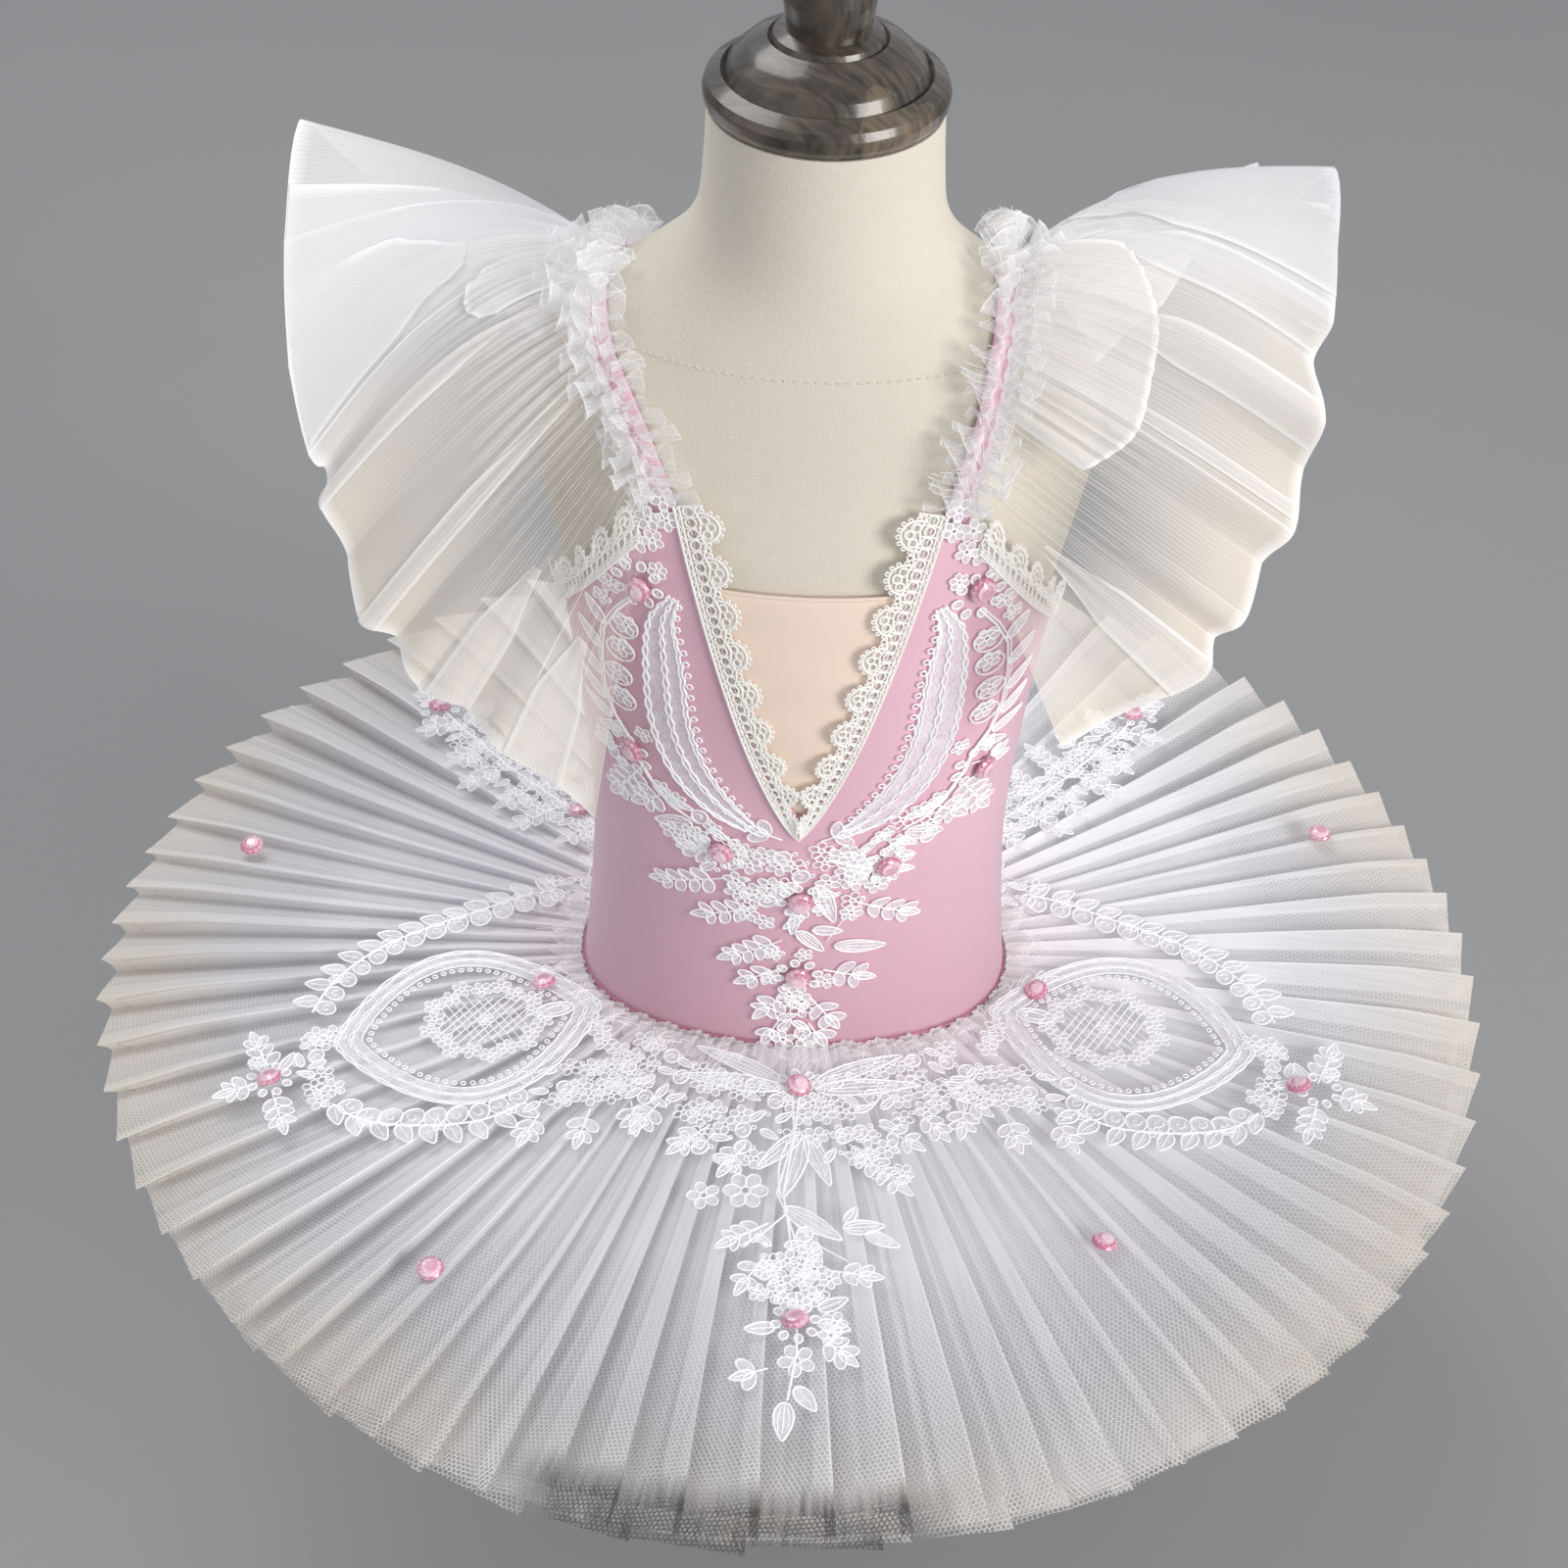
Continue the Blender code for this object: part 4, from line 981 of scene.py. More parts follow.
Crease = namedtuple("Crease", "turn z length width depth slant")
FRONT_CREASES = table(Crease,
    (-31, 40.6, 13, 0.50, -0.050, 0.05), (-27, 39.2, 16, 0.62, 0.045, -0.02),
    (-34, 37.9, 12, 0.42, -0.040, 0.04), (-22, 36.4, 15, 0.55, -0.035, -0.05),
    (-40, 43.9, 11, 0.60, 0.030, 0.10), (30, 41.2, 12, 0.50, -0.030, -0.06),
    (36, 38.0, 14, 0.70, 0.030, 0.03), (24, 35.2, 12, 0.50, -0.030, 0.02),
    (-72, 47.5, 9, 0.55, -0.045, 0.22), (-78, 44.2, 12, 0.70, -0.040, 0.10),
    (70, 48.2, 10, 0.60, -0.045, -0.20), (80, 43.0, 12, 0.55, -0.035, -0.08),
    (-60, 34.0, 16, 0.65, -0.030, 0.02), (58, 33.6, 18, 0.55, -0.035, -0.03))
BACK_CREASES = table(Crease,
    (205, 41.0, 14, 0.55, -0.045, 0.06), (160, 38.4, 17, 0.70, -0.040, -0.04),
    (186, 35.0, 18, 0.60, -0.035, 0.02), (228, 44.6, 12, 0.50, -0.040, -0.14),
    (135, 45.2, 13, 0.60, -0.045, 0.16), (250, 37.5, 12, 0.70, 0.035, 0.05),
    (112, 36.2, 11, 0.50, -0.035, -0.06))


def creased(turn, z, creases):
    """How far the creases move the satin at this place, in cm."""
    total = 0.0
    for crease in creases:
        along = (turn - crease.turn) / crease.length
        off = (z - crease.z - crease.slant * (turn - crease.turn)) / crease.width
        total += crease.depth * math.exp(-along * along - off * off)
    return total


def satin_panel(name, columns, bottom, rows, creases, mat):
    points = []
    for turn, top in columns:
        low = bottom(turn)
        heights = [mix(low, top, r / rows) for r in range(rows + 1)]
        points.append([on_form(turn, z, SATIN_OUT + creased(turn, z, creases))
                       for z in heights])
    return wall(cloth(name, points, mat), 0.13)


# %% [markdown]
# The front's columns are closer together along the V, where the edge curves, and the
# panel is mirrored by listing the same columns with their turns negative.

# %% Bodice front, back and insert
half = [(0.0, V_POINT_Z)]
for k in range(1, 19):
    z = mix(V_POINT_Z, STRAP_FOOT_Z, (k / 18) ** 1.25)
    half.append((math.degrees(math.asin(v_edge(z) / half_width(z))), z))
half += [(mix(half[-1][0], ARMHOLE_TURN, k / 5), STRAP_FOOT_Z - 0.04 * k)
         for k in range(1, 6)]
half += [armhole(k / 30) for k in range(1, 31)]
columns = [(-turn, top) for turn, top in reversed(half[1:])] + half
bodice_front = satin_panel("bodice_front_satin", columns, join_height, 56, FRONT_CREASES,
                           satin)
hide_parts("bodice_front")

columns = [(turn, back_top(turn)) for turn in (mix(90.1, 269.9, k / 80)
                                               for k in range(81))]
bodice_back = satin_panel("bodice_back_satin", columns, join_height, 44, BACK_CREASES,
                          satin)
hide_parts("bodice_back")

points = []
for c in range(25):
    share = mix(-1.0, 1.0, c / 24)
    heights = [mix(45.66, INSERT_TOP_Z, r / 30) for r in range(31)]
    points.append([on_form_at(share * (v_edge(z) - 0.03), z,
                              SATIN_OUT - 0.03 - 0.02 * math.cos(z * 2.1 + share))
                   for z in heights])
nude = wall(cloth("insert_stretch", points, insert), 0.12)
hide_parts("insert_panel")
print("bodice front:", len(bodice_front.data.polygons), "faces")

# %% [markdown]
# The cut edges of stretch satin are turned in or bound. A thin roll of the same satin
# finishes the scooped back, the insert's top and the legs of the brief, and a darker
# piping marks the seam where the skirt is set on. It stands for the satin's turned
# edge there, and its deeper pink is painted shade: the shadow along the join.

# %% Bindings and piping
def edge_line(turns, height, out):
    return [on_form(turn, height(turn), out) for turn in turns]


around = [360.0 * k / 180 for k in range(180)]
back_turns = [mix(90.5, 269.5, k / 90) for k in range(91)]
back_roll = cords("back_binding", [(edge_line(
    back_turns, lambda turn: back_top(turn) - 0.06, SATIN_OUT - 0.02), 0.13, False)],
    satin, 1)
top_turns = [math.degrees(math.asin((v_edge(INSERT_TOP_Z) - 0.05) / half_width(
    INSERT_TOP_Z))) * mix(-1, 1, k / 30) for k in range(31)]
insert_roll = cords("insert_binding", [(edge_line(
    top_turns, lambda turn: INSERT_TOP_Z - 0.05, SATIN_OUT - 0.06), 0.09, False)],
    insert, 1)
join_roll = cords("waist_piping", [(edge_line(
    around, lambda turn: join_height(turn) + 0.10, SATIN_OUT - 0.01), 0.13, True)],
    piping, 1)

# %% [markdown]
# ## Brief
# Under the skirt the satin goes on as a plain brief in two panels, cut away at the
# legs. It shows only from below, so it has the same weave and a few creases at the leg.

# %% Brief panels
BRIEF_SIDE_Z, BRIEF_LOW_Z = 25.6, 19.75


def leg_edge(away):
    return mix(BRIEF_LOW_Z, BRIEF_SIDE_Z, math.sin(math.radians(abs(away))) ** 1.5)


briefs, rolls = [], []
for label, middle in (("front", 0.0), ("back", 180.0)):
    points = []
    for k in range(61):
        away = mix(-89.8, 89.8, k / 60)
        top = join_height(middle + away) - 0.03
        heights = [mix(leg_edge(away), top, (r / 18) ** 1.8) for r in range(19)]
        points.append([on_form(middle + away, z, SATIN_OUT) for z in heights])
    piece = wall(cloth("brief_" + label + "_satin", points, satin), 0.13)
    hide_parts("brief_" + label)
    briefs.append(piece)
    rolls.append(([column[0] for column in points], 0.12, False))
leg_roll = cords("leg_binding", rolls, satin, 1)
print("brief panels:", [piece.name for piece in briefs])


# %% [markdown]
# ## Skirt of pleated net
# A pancake tutu is many strips of stiff net, each pressed into knife pleats and sewn
# one under another. A knife pleat is a panel that rises to a fold, then turns back
# under itself before the next panel starts: there the net lies three deep, and that
# is the bright line that runs from rim to waist. The folds are spaced unevenly, as
# hands press them. Each strip is one thin sheet: top, middle and under, each with a
# slightly shorter lining, so the last centimetre of the rim is a single net.

# %% Pleated strips
Layer = namedtuple("Layer", "name pleats radius join_drop rim_drop rise")
LAYERS = table(Layer,
    ("skirt_top", 72, 30.5, 0.0, 0.0, 1.3), ("skirt_middle", 40, 29.8, 1.2, 1.8, 1.0),
    ("skirt_under", 30, 28.6, 2.4, 3.3, 1.0))
LAYER_GAP, RIM_Z = 0.18, 30.0
STRIP_ROWS, ROWS_TO_RIM = 17, 0.85               # below 1, the rows crowd to the rim
PLEAT_START, PLEAT_FOLD, UNEVEN_MARK, UNEVEN_FOLD = -0.20, 0.92, 0.22, 0.03    # in pleats
TALLEST, LOWER_PLEATS, SWAY = 1.14, 0.55, 0.28   # how pleats differ in rise, and lean
POKE, POKE_FROM, RAGGED_RIM = 0.48, -0.12, 0.16  # how far a fold's end reaches, in cm
RIPPLE, TIP_DROP, TIP_FROM, TIP_LONG = 0.05, 0.35, 0.85, 0.15


def skirt_line(layer, turn, inset=0.0):
    """Inner and outer end of a strip's middle surface at this turn."""
    inner_z = join_height(turn) - layer.join_drop
    start = on_form(turn, inner_z, SATIN_OUT + LAYER_GAP)
    angle = math.radians(turn)
    end = Vector((layer.radius * math.sin(angle), -layer.radius * math.cos(angle),
                  RIM_Z - layer.rim_drop))
    start.z = inner_z
    return start, end + (start - end).normalized() * inset


def pleat_marks(layer, k):
    """Where a pleat starts and where it folds, counted in pleats."""
    start = k + PLEAT_START + UNEVEN_MARK * uneven(k, 2)
    fold = (k + PLEAT_FOLD + UNEVEN_MARK * uneven((k + 1) % layer.pleats, 2)
            + UNEVEN_FOLD * uneven(k, 3))
    return start, fold


Mark = namedtuple("Mark", "place up lift doubled poke")
cuts = {}                    # for each strip: rim length, depth and area, in metres


def pleat(layer, k):
    """The columns of one pleat: a panel up to its fold, then the return under it."""
    low, fold = pleat_marks(layer, k)
    after = pleat_marks(layer, k + 1 if k + 1 < layer.pleats else 0)[0]
    after += layer.pleats if k + 1 == layer.pleats else 0
    tuck = 0.10 + 0.30 * uneven(k, 8) ** 2       # how much of the panel lies doubled
    ridge = max(0.0, uneven(k, 9) - 0.35)        # some panels have a second, low crease
    crisp = 0.65 + 0.35 * uneven(k, 5)           # and some folds are pressed sharper
    # share of the panel, how far it lifts there and how doubled it is
    rows = [(0.0, 0.0, 0.25), (0.14, 0.0, 0.0), (0.36, 0.5 * ridge, 0.1),
            (0.41, ridge, 0.7 * ridge), (0.46, 0.5 * ridge, 0.1),
            (0.95 - tuck, 0.0, 0.0), (1 - tuck, 0.2, 0.45), (1.04 - tuck, 0.15, 0.34),
            (0.95, 0.1, 0.42), (1.0, 0.0, crisp)]
    marks = [Mark(mix(low, fold, s), s, 0.16 * lift, doubled, s ** 1.6)
             for s, lift, doubled in rows]
    return marks + [Mark(fold, 1.0, 0.0, crisp, 1.0),
                    Mark(mix(fold, after, 0.5), 0.5, 0.0, 0.5, 0.25)]


def net_strip(name, layer, inset, drop, mat):
    pitch = 360.0 / layer.pleats
    points, panels, doubled = [], [], []
    for k in range(layer.pleats):
        size = TALLEST - LOWER_PLEATS * uneven(k, 4) ** 2
        sway = SWAY * uneven(k, 11)
        for n, mark in enumerate(pleat(layer, k)):
            if n in (0, 10):
                panels.append(len(points))
            start, end = skirt_line(layer, mark.place * pitch, inset)
            way = (end - start).normalized()
            side = left_of(way).normalized().to_3d()
            end = end + way * (POKE * mark.poke + POKE_FROM + RAGGED_RIM * uneven(k, 6))
            column = []
            for r in range(STRIP_ROWS):
                share = (r / (STRIP_ROWS - 1)) ** ROWS_TO_RIM
                p = start.lerp(end, share)
                rise = layer.rise * size * p.xy.length / layer.radius
                p.z += rise * (mark.up - 0.5) + mark.lift * share - drop
                p.z += RIPPLE * share * math.sin(5.0 * share + 2.3 * k + 3.0 * mark.up)
                p.z -= TIP_DROP * mark.poke * max(0.0, share - TIP_FROM) / TIP_LONG
                p += side * sway * share * math.sin(math.pi * share)
                column.append(p)
            points.append(column)
            doubled.append(mark.doubled)
    points.append(points[0])
    doubled.append(doubled[0])
    rim, waist = (running([column[r] for column in points])[-1] * CM for r in (-1, 0))
    deep = running(points[5])[-1] * CM
    cuts[name] = (rim, deep, (rim + waist) / 2 * deep)
    return cloth(name, points, mat, panels, upward=True, closed=True, sharp=28,
                 doubled=lambda c, r: doubled[c])


nets = []
for layer in LAYERS:
    outer = net_strip(layer.name + "_net", layer, 0.0, 0.0, skirt_net)
    lining = net_strip(layer.name + "_lining", layer, 0.95, 0.14, lining_net)
    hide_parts(layer.name)
    nets.append((layer, outer, lining))
    print(layer.name, len(outer.data.polygons), "faces, rim",
          round(cuts[outer.name][0], 2), "m when opened out")

# %% [markdown]
# Where the skirt is sewn on, the raw edge of the net stands up in a frayed little
# frill, with loose threads. The frill is a narrow sheet in fine waves of uneven height;
# the threads are hair-thin cords with a bend in each.

# %% Frayed edge at the waist
WAIST_COLUMNS, WAIST_THREADS, HAIR_R = 600, 360, 0.013       # four columns to a wave
points = []
for k in range(WAIST_COLUMNS):
    turn = 360.0 * k / WAIST_COLUMNS
    wave = math.sin(math.pi * k / 2 + 0.6 * uneven(k // 4, 1))
    tall = 0.18 + 0.12 * uneven(k, 8) + 0.08 * uneven(k // 7, 9)
    low = on_form(turn, join_height(turn) - 0.10, SATIN_OUT + 0.10)
    away = outward(low)
    points.append([low + away * (1.15 + 0.35 * uneven(k, 3)) + up(0.28),
                   low + away * 0.45 + up(0.26 + 0.08 * wave),
                   low + away * (0.08 + 0.04 * wave) + up(0.18),
                   low + away * (0.06 + 0.07 * wave) + up(0.18 + tall)])
points.append(points[0])
waist_frill = cloth("waist_frill", points, gathered_net, upward=True, closed=True,
                    fanned=True, doubled=lambda c, r: (0.1, 0.1, 0.3, 0.5)[r])

loose = []
for k in range(WAIST_THREADS):
    turn = 360.0 * (k + 0.7 * uneven(k, 1)) / WAIST_THREADS
    low = on_form(turn, join_height(turn), SATIN_OUT + 0.16)
    away = outward(low)
    reach = 0.8 + 0.6 * uneven(k, 2)
    lean = left_of(away).to_3d() * 0.8 * uneven(k, 3)
    start = low + away * (0.15 + 0.8 * abs(uneven(k, 4))) + up(0.35)
    end = start + away * 0.85 * reach + lean + up(0.30 * uneven(k, 5))
    end.z = max(end.z, low.z + 0.32)
    bend = start.lerp(end, 0.5) + up(0.22 + 0.15 * uneven(k, 6))
    loose.append(([start, bend, end], HAIR_R, False))
cords("waist_threads", loose, embroidery)
print("waist:", WAIST_COLUMNS // 4, "waves,", len(loose), "threads")

# %% [markdown]
# ## Straps
# Each strap is a narrow strip of the bodice satin that climbs the back, crosses the
# shoulder and comes down to the top of the V. The strap's middle line also carries the
# frill and the wing, so it is worked out once: a smooth curve through a few stops on
# the form, read by the share of its length.

# %% The strap's line
Stop = namedtuple("Stop", "out z side")          # side: 1 back, 0 ridge, -1 front
STRAP_BACK = table(Stop, (5.3, 50.5, 1), (5.6, 53.8, 1), (6.1, 57.2, 1), (6.6, 60.2, 1),
                   (7.0, 62.9, 1))
STRAP_LEFT = STRAP_BACK + table(Stop, (8.1, None, 0), (7.6, 63.5, -1), (7.0, 62.5, -1),
                                (6.2, 60.8, -1), (5.35, 58.56, -1))
STRAP_RIGHT = STRAP_BACK + table(Stop, (6.9, None, 0), (6.7, 64.7, -1), (6.5, 63.4, -1),
                                 (6.1, 61.5, -1), (5.35, 58.56, -1))


def shoulder_height(out):
    """Height at which the form is as wide as this, above its widest section."""
    low, high = SHOULDER_Z, NECK_TOP_Z
    for _ in range(30):
        middle = (low + high) / 2
        low, high = (middle, high) if half_width(middle) > out else (low, middle)
    return low


def through(a, b, c, d, share):
    """A point on the smooth curve from b to c."""
    return 0.5 * (2 * b + (c - a) * share + (2 * a - 5 * b + 4 * c - d) * share ** 2
                  + (3 * b - a - 3 * c + d) * share ** 3)


def smooth_line(stops, steps):
    """A curve through every stop."""
    fine = []
    for i in range(len(stops) - 1):
        four = (stops[max(i - 1, 0)], stops[i], stops[i + 1],
                stops[min(i + 2, len(stops) - 1)])
        fine += [through(*four, k / steps) for k in range(steps)]
    return fine + [stops[-1]]


def strap_frame(side, line):
    """Returns a function of share: point, outward normal and direction to the arm."""
    stops = [Vector((side * s.out, 0.0, shoulder_height(s.out))) if s.side == 0
             else on_form_at(side * s.out, s.z, back=s.side > 0) for s in line]
    fine = [to_form(p) for p in smooth_line(stops, 12)]
    run = running(fine)

    def at(share):
        i, part = locate(run, unit(share) * run[-1])
        return fine[i].lerp(fine[i + 1], part)

    def frame(share):
        p = at(share)
        along = (at(share + 0.01) - at(share - 0.01)).normalized()
        normal = form_normal(p)
        arm = along.cross(normal).normalized()
        return p, normal, -arm if arm.x * side < 0 else arm

    return frame


SIDES = {"left": (-1, strap_frame(-1, STRAP_LEFT)),
         "right": (1, strap_frame(1, STRAP_RIGHT))}

# %% Satin straps
STRAP_ACROSS, STRAP_OUT, EDGE_ROLLED = (-0.5, -0.42, -0.2, 0.0, 0.2, 0.42, 0.5), 0.30, 0.10
straps = []
for label, (side, frame_at) in SIDES.items():
    points = []
    for k in range(91):
        p, normal, arm = frame_at(k / 90)
        points.append([p + arm * across
                       + normal * (STRAP_OUT - EDGE_ROLLED * (across / 0.5) ** 4)
                       for across in STRAP_ACROSS])
    piece = wall(cloth("strap_" + label + "_satin", points, satin), 0.1)
    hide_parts("strap_" + label)
    straps.append(piece)
print("straps:", [round(piece.dimensions.z * 100, 1) for piece in straps], "cm tall")

# %% [markdown]
# ## Wings
# Each wing is one wide piece of ribbed net, gathered into the strap and left to stand
# out like a sleeve. Its fold lines fan out from the strap, and each is written down:
# where it starts along the strap, and where it ends in the air. Between folds the net
# bows a little. In places the net is doubled over and looks whiter: those are flaps,
# laid just above the wing, or just below it, between two of its lines and made one
# piece with it.

# %% Fold lines of the wings
Fold = namedtuple("Fold", "along out y z")
WING_LEFT = table(Fold,
    (0.12, 9.5, 10.5, 52.0), (0.18, 12.5, 11.2, 55.8), (0.24, 14.3, 9.0, 58.8),
    (0.30, 17.0, 9.0, 62.4), (0.36, 18.2, 6.6, 65.6), (0.42, 19.7, 4.5, 68.6),
    (0.50, 20.0, 1.0, 65.5), (0.57, 19.7, -2.0, 62.0), (0.62, 18.8, -4.3, 59.6),
    (0.66, 17.5, -3.2, 59.0), (0.70, 18.3, -5.2, 57.8), (0.75, 17.0, -4.4, 55.8),
    (0.79, 17.0, -6.6, 53.6), (0.83, 15.2, -5.2, 53.2), (0.87, 14.8, -7.6, 51.3),
    (0.91, 12.6, -6.8, 50.8), (0.95, 11.5, -9.0, 49.4), (0.98, 9.4, -8.6, 48.2),
    (1.00, 7.9, -9.8, 46.8))
WING_RIGHT = table(Fold,
    (0.12, 9.5, 10.5, 52.0), (0.18, 12.5, 11.0, 56.0), (0.24, 14.0, 8.8, 59.5),
    (0.30, 15.8, 8.6, 63.8), (0.36, 16.5, 6.2, 67.4), (0.42, 16.9, 3.8, 66.6),
    (0.48, 18.9, 3.0, 68.9), (0.54, 18.9, 0.0, 67.0), (0.59, 18.8, -1.8, 65.4),
    (0.64, 17.5, -0.2, 63.6), (0.69, 18.6, -4.5, 62.8), (0.73, 17.8, -3.3, 60.6),
    (0.78, 17.9, -5.6, 58.6), (0.82, 16.3, -4.8, 57.6), (0.87, 16.4, -7.2, 55.8),
    (0.91, 14.7, -6.4, 55.0), (0.95, 14.9, -8.6, 53.9), (0.98, 12.4, -8.2, 52.4),
    (1.00, 9.8, -9.4, 51.0))
# A flap: from one fold line to another, from one share of their length to another,
# and how far above the wing it lies, in cm, or below it if less than 0
Flap = namedtuple("Flap", "first last near far lift")
FLAPS_LEFT = table(Flap,
    (5.55, 7.75, 0.10, 0.995, -0.22), (6.42, 8.0, 0.36, 0.98, 0.20),
    (9.62, 10.12, 0.04, 1.0, 0.14), (2.4, 4.6, 0.08, 0.97, 0.16),
    (7.6, 9.4, 0.03, 0.36, 0.26),
    (12.0, 12.55, 0.06, 1.0, 0.14), (14.2, 15.1, 0.45, 1.0, 0.16),
    (16.05, 17.2, 0.50, 0.99, 0.14), (0.6, 1.5, 0.1, 0.98, 0.15))
FLAPS_RIGHT = table(Flap,
    (3.55, 4.85, 0.06, 0.99, 0.15), (5.85, 7.55, 0.05, 1.0, 0.20),
    (7.7, 8.9, 0.10, 0.985, 0.15), (6.4, 8.3, 0.3, 0.97, -0.2),
    (9.75, 10.75, 0.10, 0.985, 0.18), (11.6, 11.85, 0.12, 0.98, 0.14),
    (15.5, 16.5, 0.28, 1.0, 0.22), (8.4, 13.5, 0.03, 0.42, 0.28),
    (1.5, 2.6, 0.1, 0.98, 0.15))


ROOT_OUT, ROOT_TO_ARM, GATHER_TURNS = 0.55, 0.30, 19.0
BOW, BOW_MORE, BOW_MIDDLE, BOW_SPREAD = 0.55, 1.5, 5.5, 4.5   # most at the shoulder's top
EASED_FROM, EASED = 9, 0.65                      # the inner folds of the hem are eased
ROUND_HEM, GATHER_DEEP, SWELL, FLUTTER = 0.8, 0.20, 0.20, 0.08


def fan(side, folds, frame_at):
    """Returns a function of fold number and share that gives a point on the wing."""
    lines = []
    for n, fold in enumerate(folds):
        p, normal, arm = frame_at(fold.along)
        root = p + normal * ROOT_OUT + arm * ROOT_TO_ARM
        end = Vector((side * fold.out, fold.y, fold.z))
        way = (end - root).normalized()
        bow = (normal - way * normal.dot(way)).normalized()
        tall = BOW_MORE * math.exp(-((n - BOW_MIDDLE) / BOW_SPREAD) ** 2) + BOW
        lines.append((root, end, bow, tall))
    for n in range(EASED_FROM, len(lines) - 1, 2):
        root, end, bow, tall = lines[n]
        eased = end.lerp(lines[n - 1][1].lerp(lines[n + 1][1], 0.5), EASED)
        lines[n] = (root, eased, bow, tall)

    def at(number, share, lift=0.0):
        i = min(int(number), len(folds) - 2)
        part = number - i
        root, _, bow, tall = (mix(a, b, part) for a, b in zip(lines[i], lines[i + 1]))
        before, after = lines[max(i - 1, 0)][1], lines[min(i + 2, len(lines) - 1)][1]
        end = mix(lines[i][1].lerp(lines[i + 1][1], part),
                  through(before, lines[i][1], lines[i + 1][1], after, part), ROUND_HEM)
        gather = GATHER_DEEP * (1 - share) ** 2 * math.sin(number * GATHER_TURNS)
        swell = SWELL * math.sin(math.pi * part) * share * uneven(i, 3)
        flutter = FLUTTER * share ** 2 * math.sin(number * 5.3 + side)
        rise = tall * math.sin(math.pi * share ** 0.8)
        return root.lerp(end, share) + bow * (rise + gather + swell + flutter + lift)

    return at


def joined(name, pieces):
    """Makes one piece of several, each keeping its own material."""
    mats = []
    bm = bmesh.new()
    for piece in pieces:
        mat = piece.data.materials[0]
        if mat not in mats:
            mats.append(mat)
        before = len(bm.faces)
        bm.from_mesh(piece.data)
        bm.faces.ensure_lookup_table()
        for face in bm.faces[before:]:
            face.material_index = mats.index(mat)
        bpy.data.objects.remove(piece)
    made = show(name, bm, mats[0])
    for mat in mats[1:]:
        made.data.materials.append(mat)
    return made


# %% The wings
# Where the columns lie between two folds, and how doubled the net is there
BETWEEN = ((0.0, 1.0), (0.025, 0.2), (0.06, 0.0), (0.2, 0.0), (0.35, 0.0), (0.5, 0.0),
           (0.65, 0.0), (0.8, 0.0), (0.94, 0.0), (0.975, 0.2))
WING_ROWS, FLAP_ROWS = 20, 14
CRISP = (2, 6, 8, 12, 16)    # folds pressed sharp; the others are soft
TOP_FOLD, FOOT_FOLD = 6.5, 12.0      # fold numbers: the shoulder's top, the strap's foot
for label, folds, flaps in (("left", WING_LEFT, FLAPS_LEFT),
                            ("right", WING_RIGHT, FLAPS_RIGHT)):
    side, frame_at = SIDES[label]
    at = fan(side, folds, frame_at)
    numbers, pressed = [], []
    for i in range(len(folds) - 1):
        for part, amount in BETWEEN:
            numbers.append(i + part)
            pressed.append(amount * (0.9 if i in CRISP else 0.12 if i % 2 else 0.35))
    numbers.append(len(folds) - 1.0)
    pressed.append(1.0)

    def lower(number):
        """0 at the upper folds of a wing, 1 from the lower front folds on."""
        return unit((number - TOP_FOLD) / 4.0)

    def upper(number):
        """The first folds, behind the shoulder, are a single thin net."""
        return (0.45 if side < 0 else 0.20) * unit((TOP_FOLD - number) / 3)

    def by_foot(number, share):
        """1 near the strap's foot, where the bodice shows through the net."""
        return unit((number - FOOT_FOLD) / 2.0) * unit(1.7 - 2.0 * share)

    def gathered(number, share):
        """White streaks where the net is gathered into the strap."""
        reach = 0.5 if number < FOOT_FOLD else 0.2
        fade = max(0.0, 1 - share / reach) ** 2
        return (0.40 + 0.40 * math.sin(GATHER_TURNS * number)) * fade

    main = cloth("main", [[at(n, r / WING_ROWS) for r in range(WING_ROWS + 1)]
                          for n in numbers], wing_net, sharp=40, fanned=True,
                 doubled=lambda c, r: max(
                     pressed[c] * (1 - 0.8 * by_foot(numbers[c], r / WING_ROWS)),
                     0.7 if r == WING_ROWS else 0.0,
                     gathered(numbers[c], r / WING_ROWS)),
                 sheer=lambda c, r: upper(numbers[c]) + lower(numbers[c])
                 * max(0.0, 1.25 - 1.35 * r / WING_ROWS)
                 + 1.15 * by_foot(numbers[c], r / WING_ROWS),
                 warm=lambda c, r: lower(numbers[c]) * (0.35 + 0.65 * r / WING_ROWS))
    parts = [main]
    for flap in flaps:
        steps = max(5, round((flap.last - flap.first) * 8))
        middle, short = (flap.first + flap.last) / 2, flap.far < 0.5
        columns = []
        for k in range(steps + 1):
            number = mix(flap.first, flap.last, k / steps)
            far = flap.far * (1 - 0.3 * abs(2 * k / steps - 1) ** 3 if short else 1.0)
            column = []
            for r in range(FLAP_ROWS + 1):
                opened = 1.0 if short else min(1.0, 0.25 + 0.12 * r)
                arch = math.sin(math.pi * mix(0.2, 0.97, r / FLAP_ROWS)) ** 0.2
                column.append(at(mix(middle, number, opened),
                                 mix(flap.near, far, r / FLAP_ROWS), flap.lift * arch))
            columns.append(column)
        parts.append(cloth("flap", columns, folded_net, sharp=40, fanned=True,
                           doubled=lambda c, r: 0.7 if c in (0, steps)
                           or short and r == FLAP_ROWS else 0.0,
                           sheer=lambda c, r: upper(middle) + lower(middle)
                           * (1.1 - 1.0 * r / FLAP_ROWS) * (0.3 if short else 1.0),
                           warm=lambda c, r: lower(middle) * 0.35))
    wing = joined("wing_" + label + "_net", parts)
    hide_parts("wing_" + label)
    print(wing.name, len(wing.data.polygons), "faces,", len(flaps), "flaps")

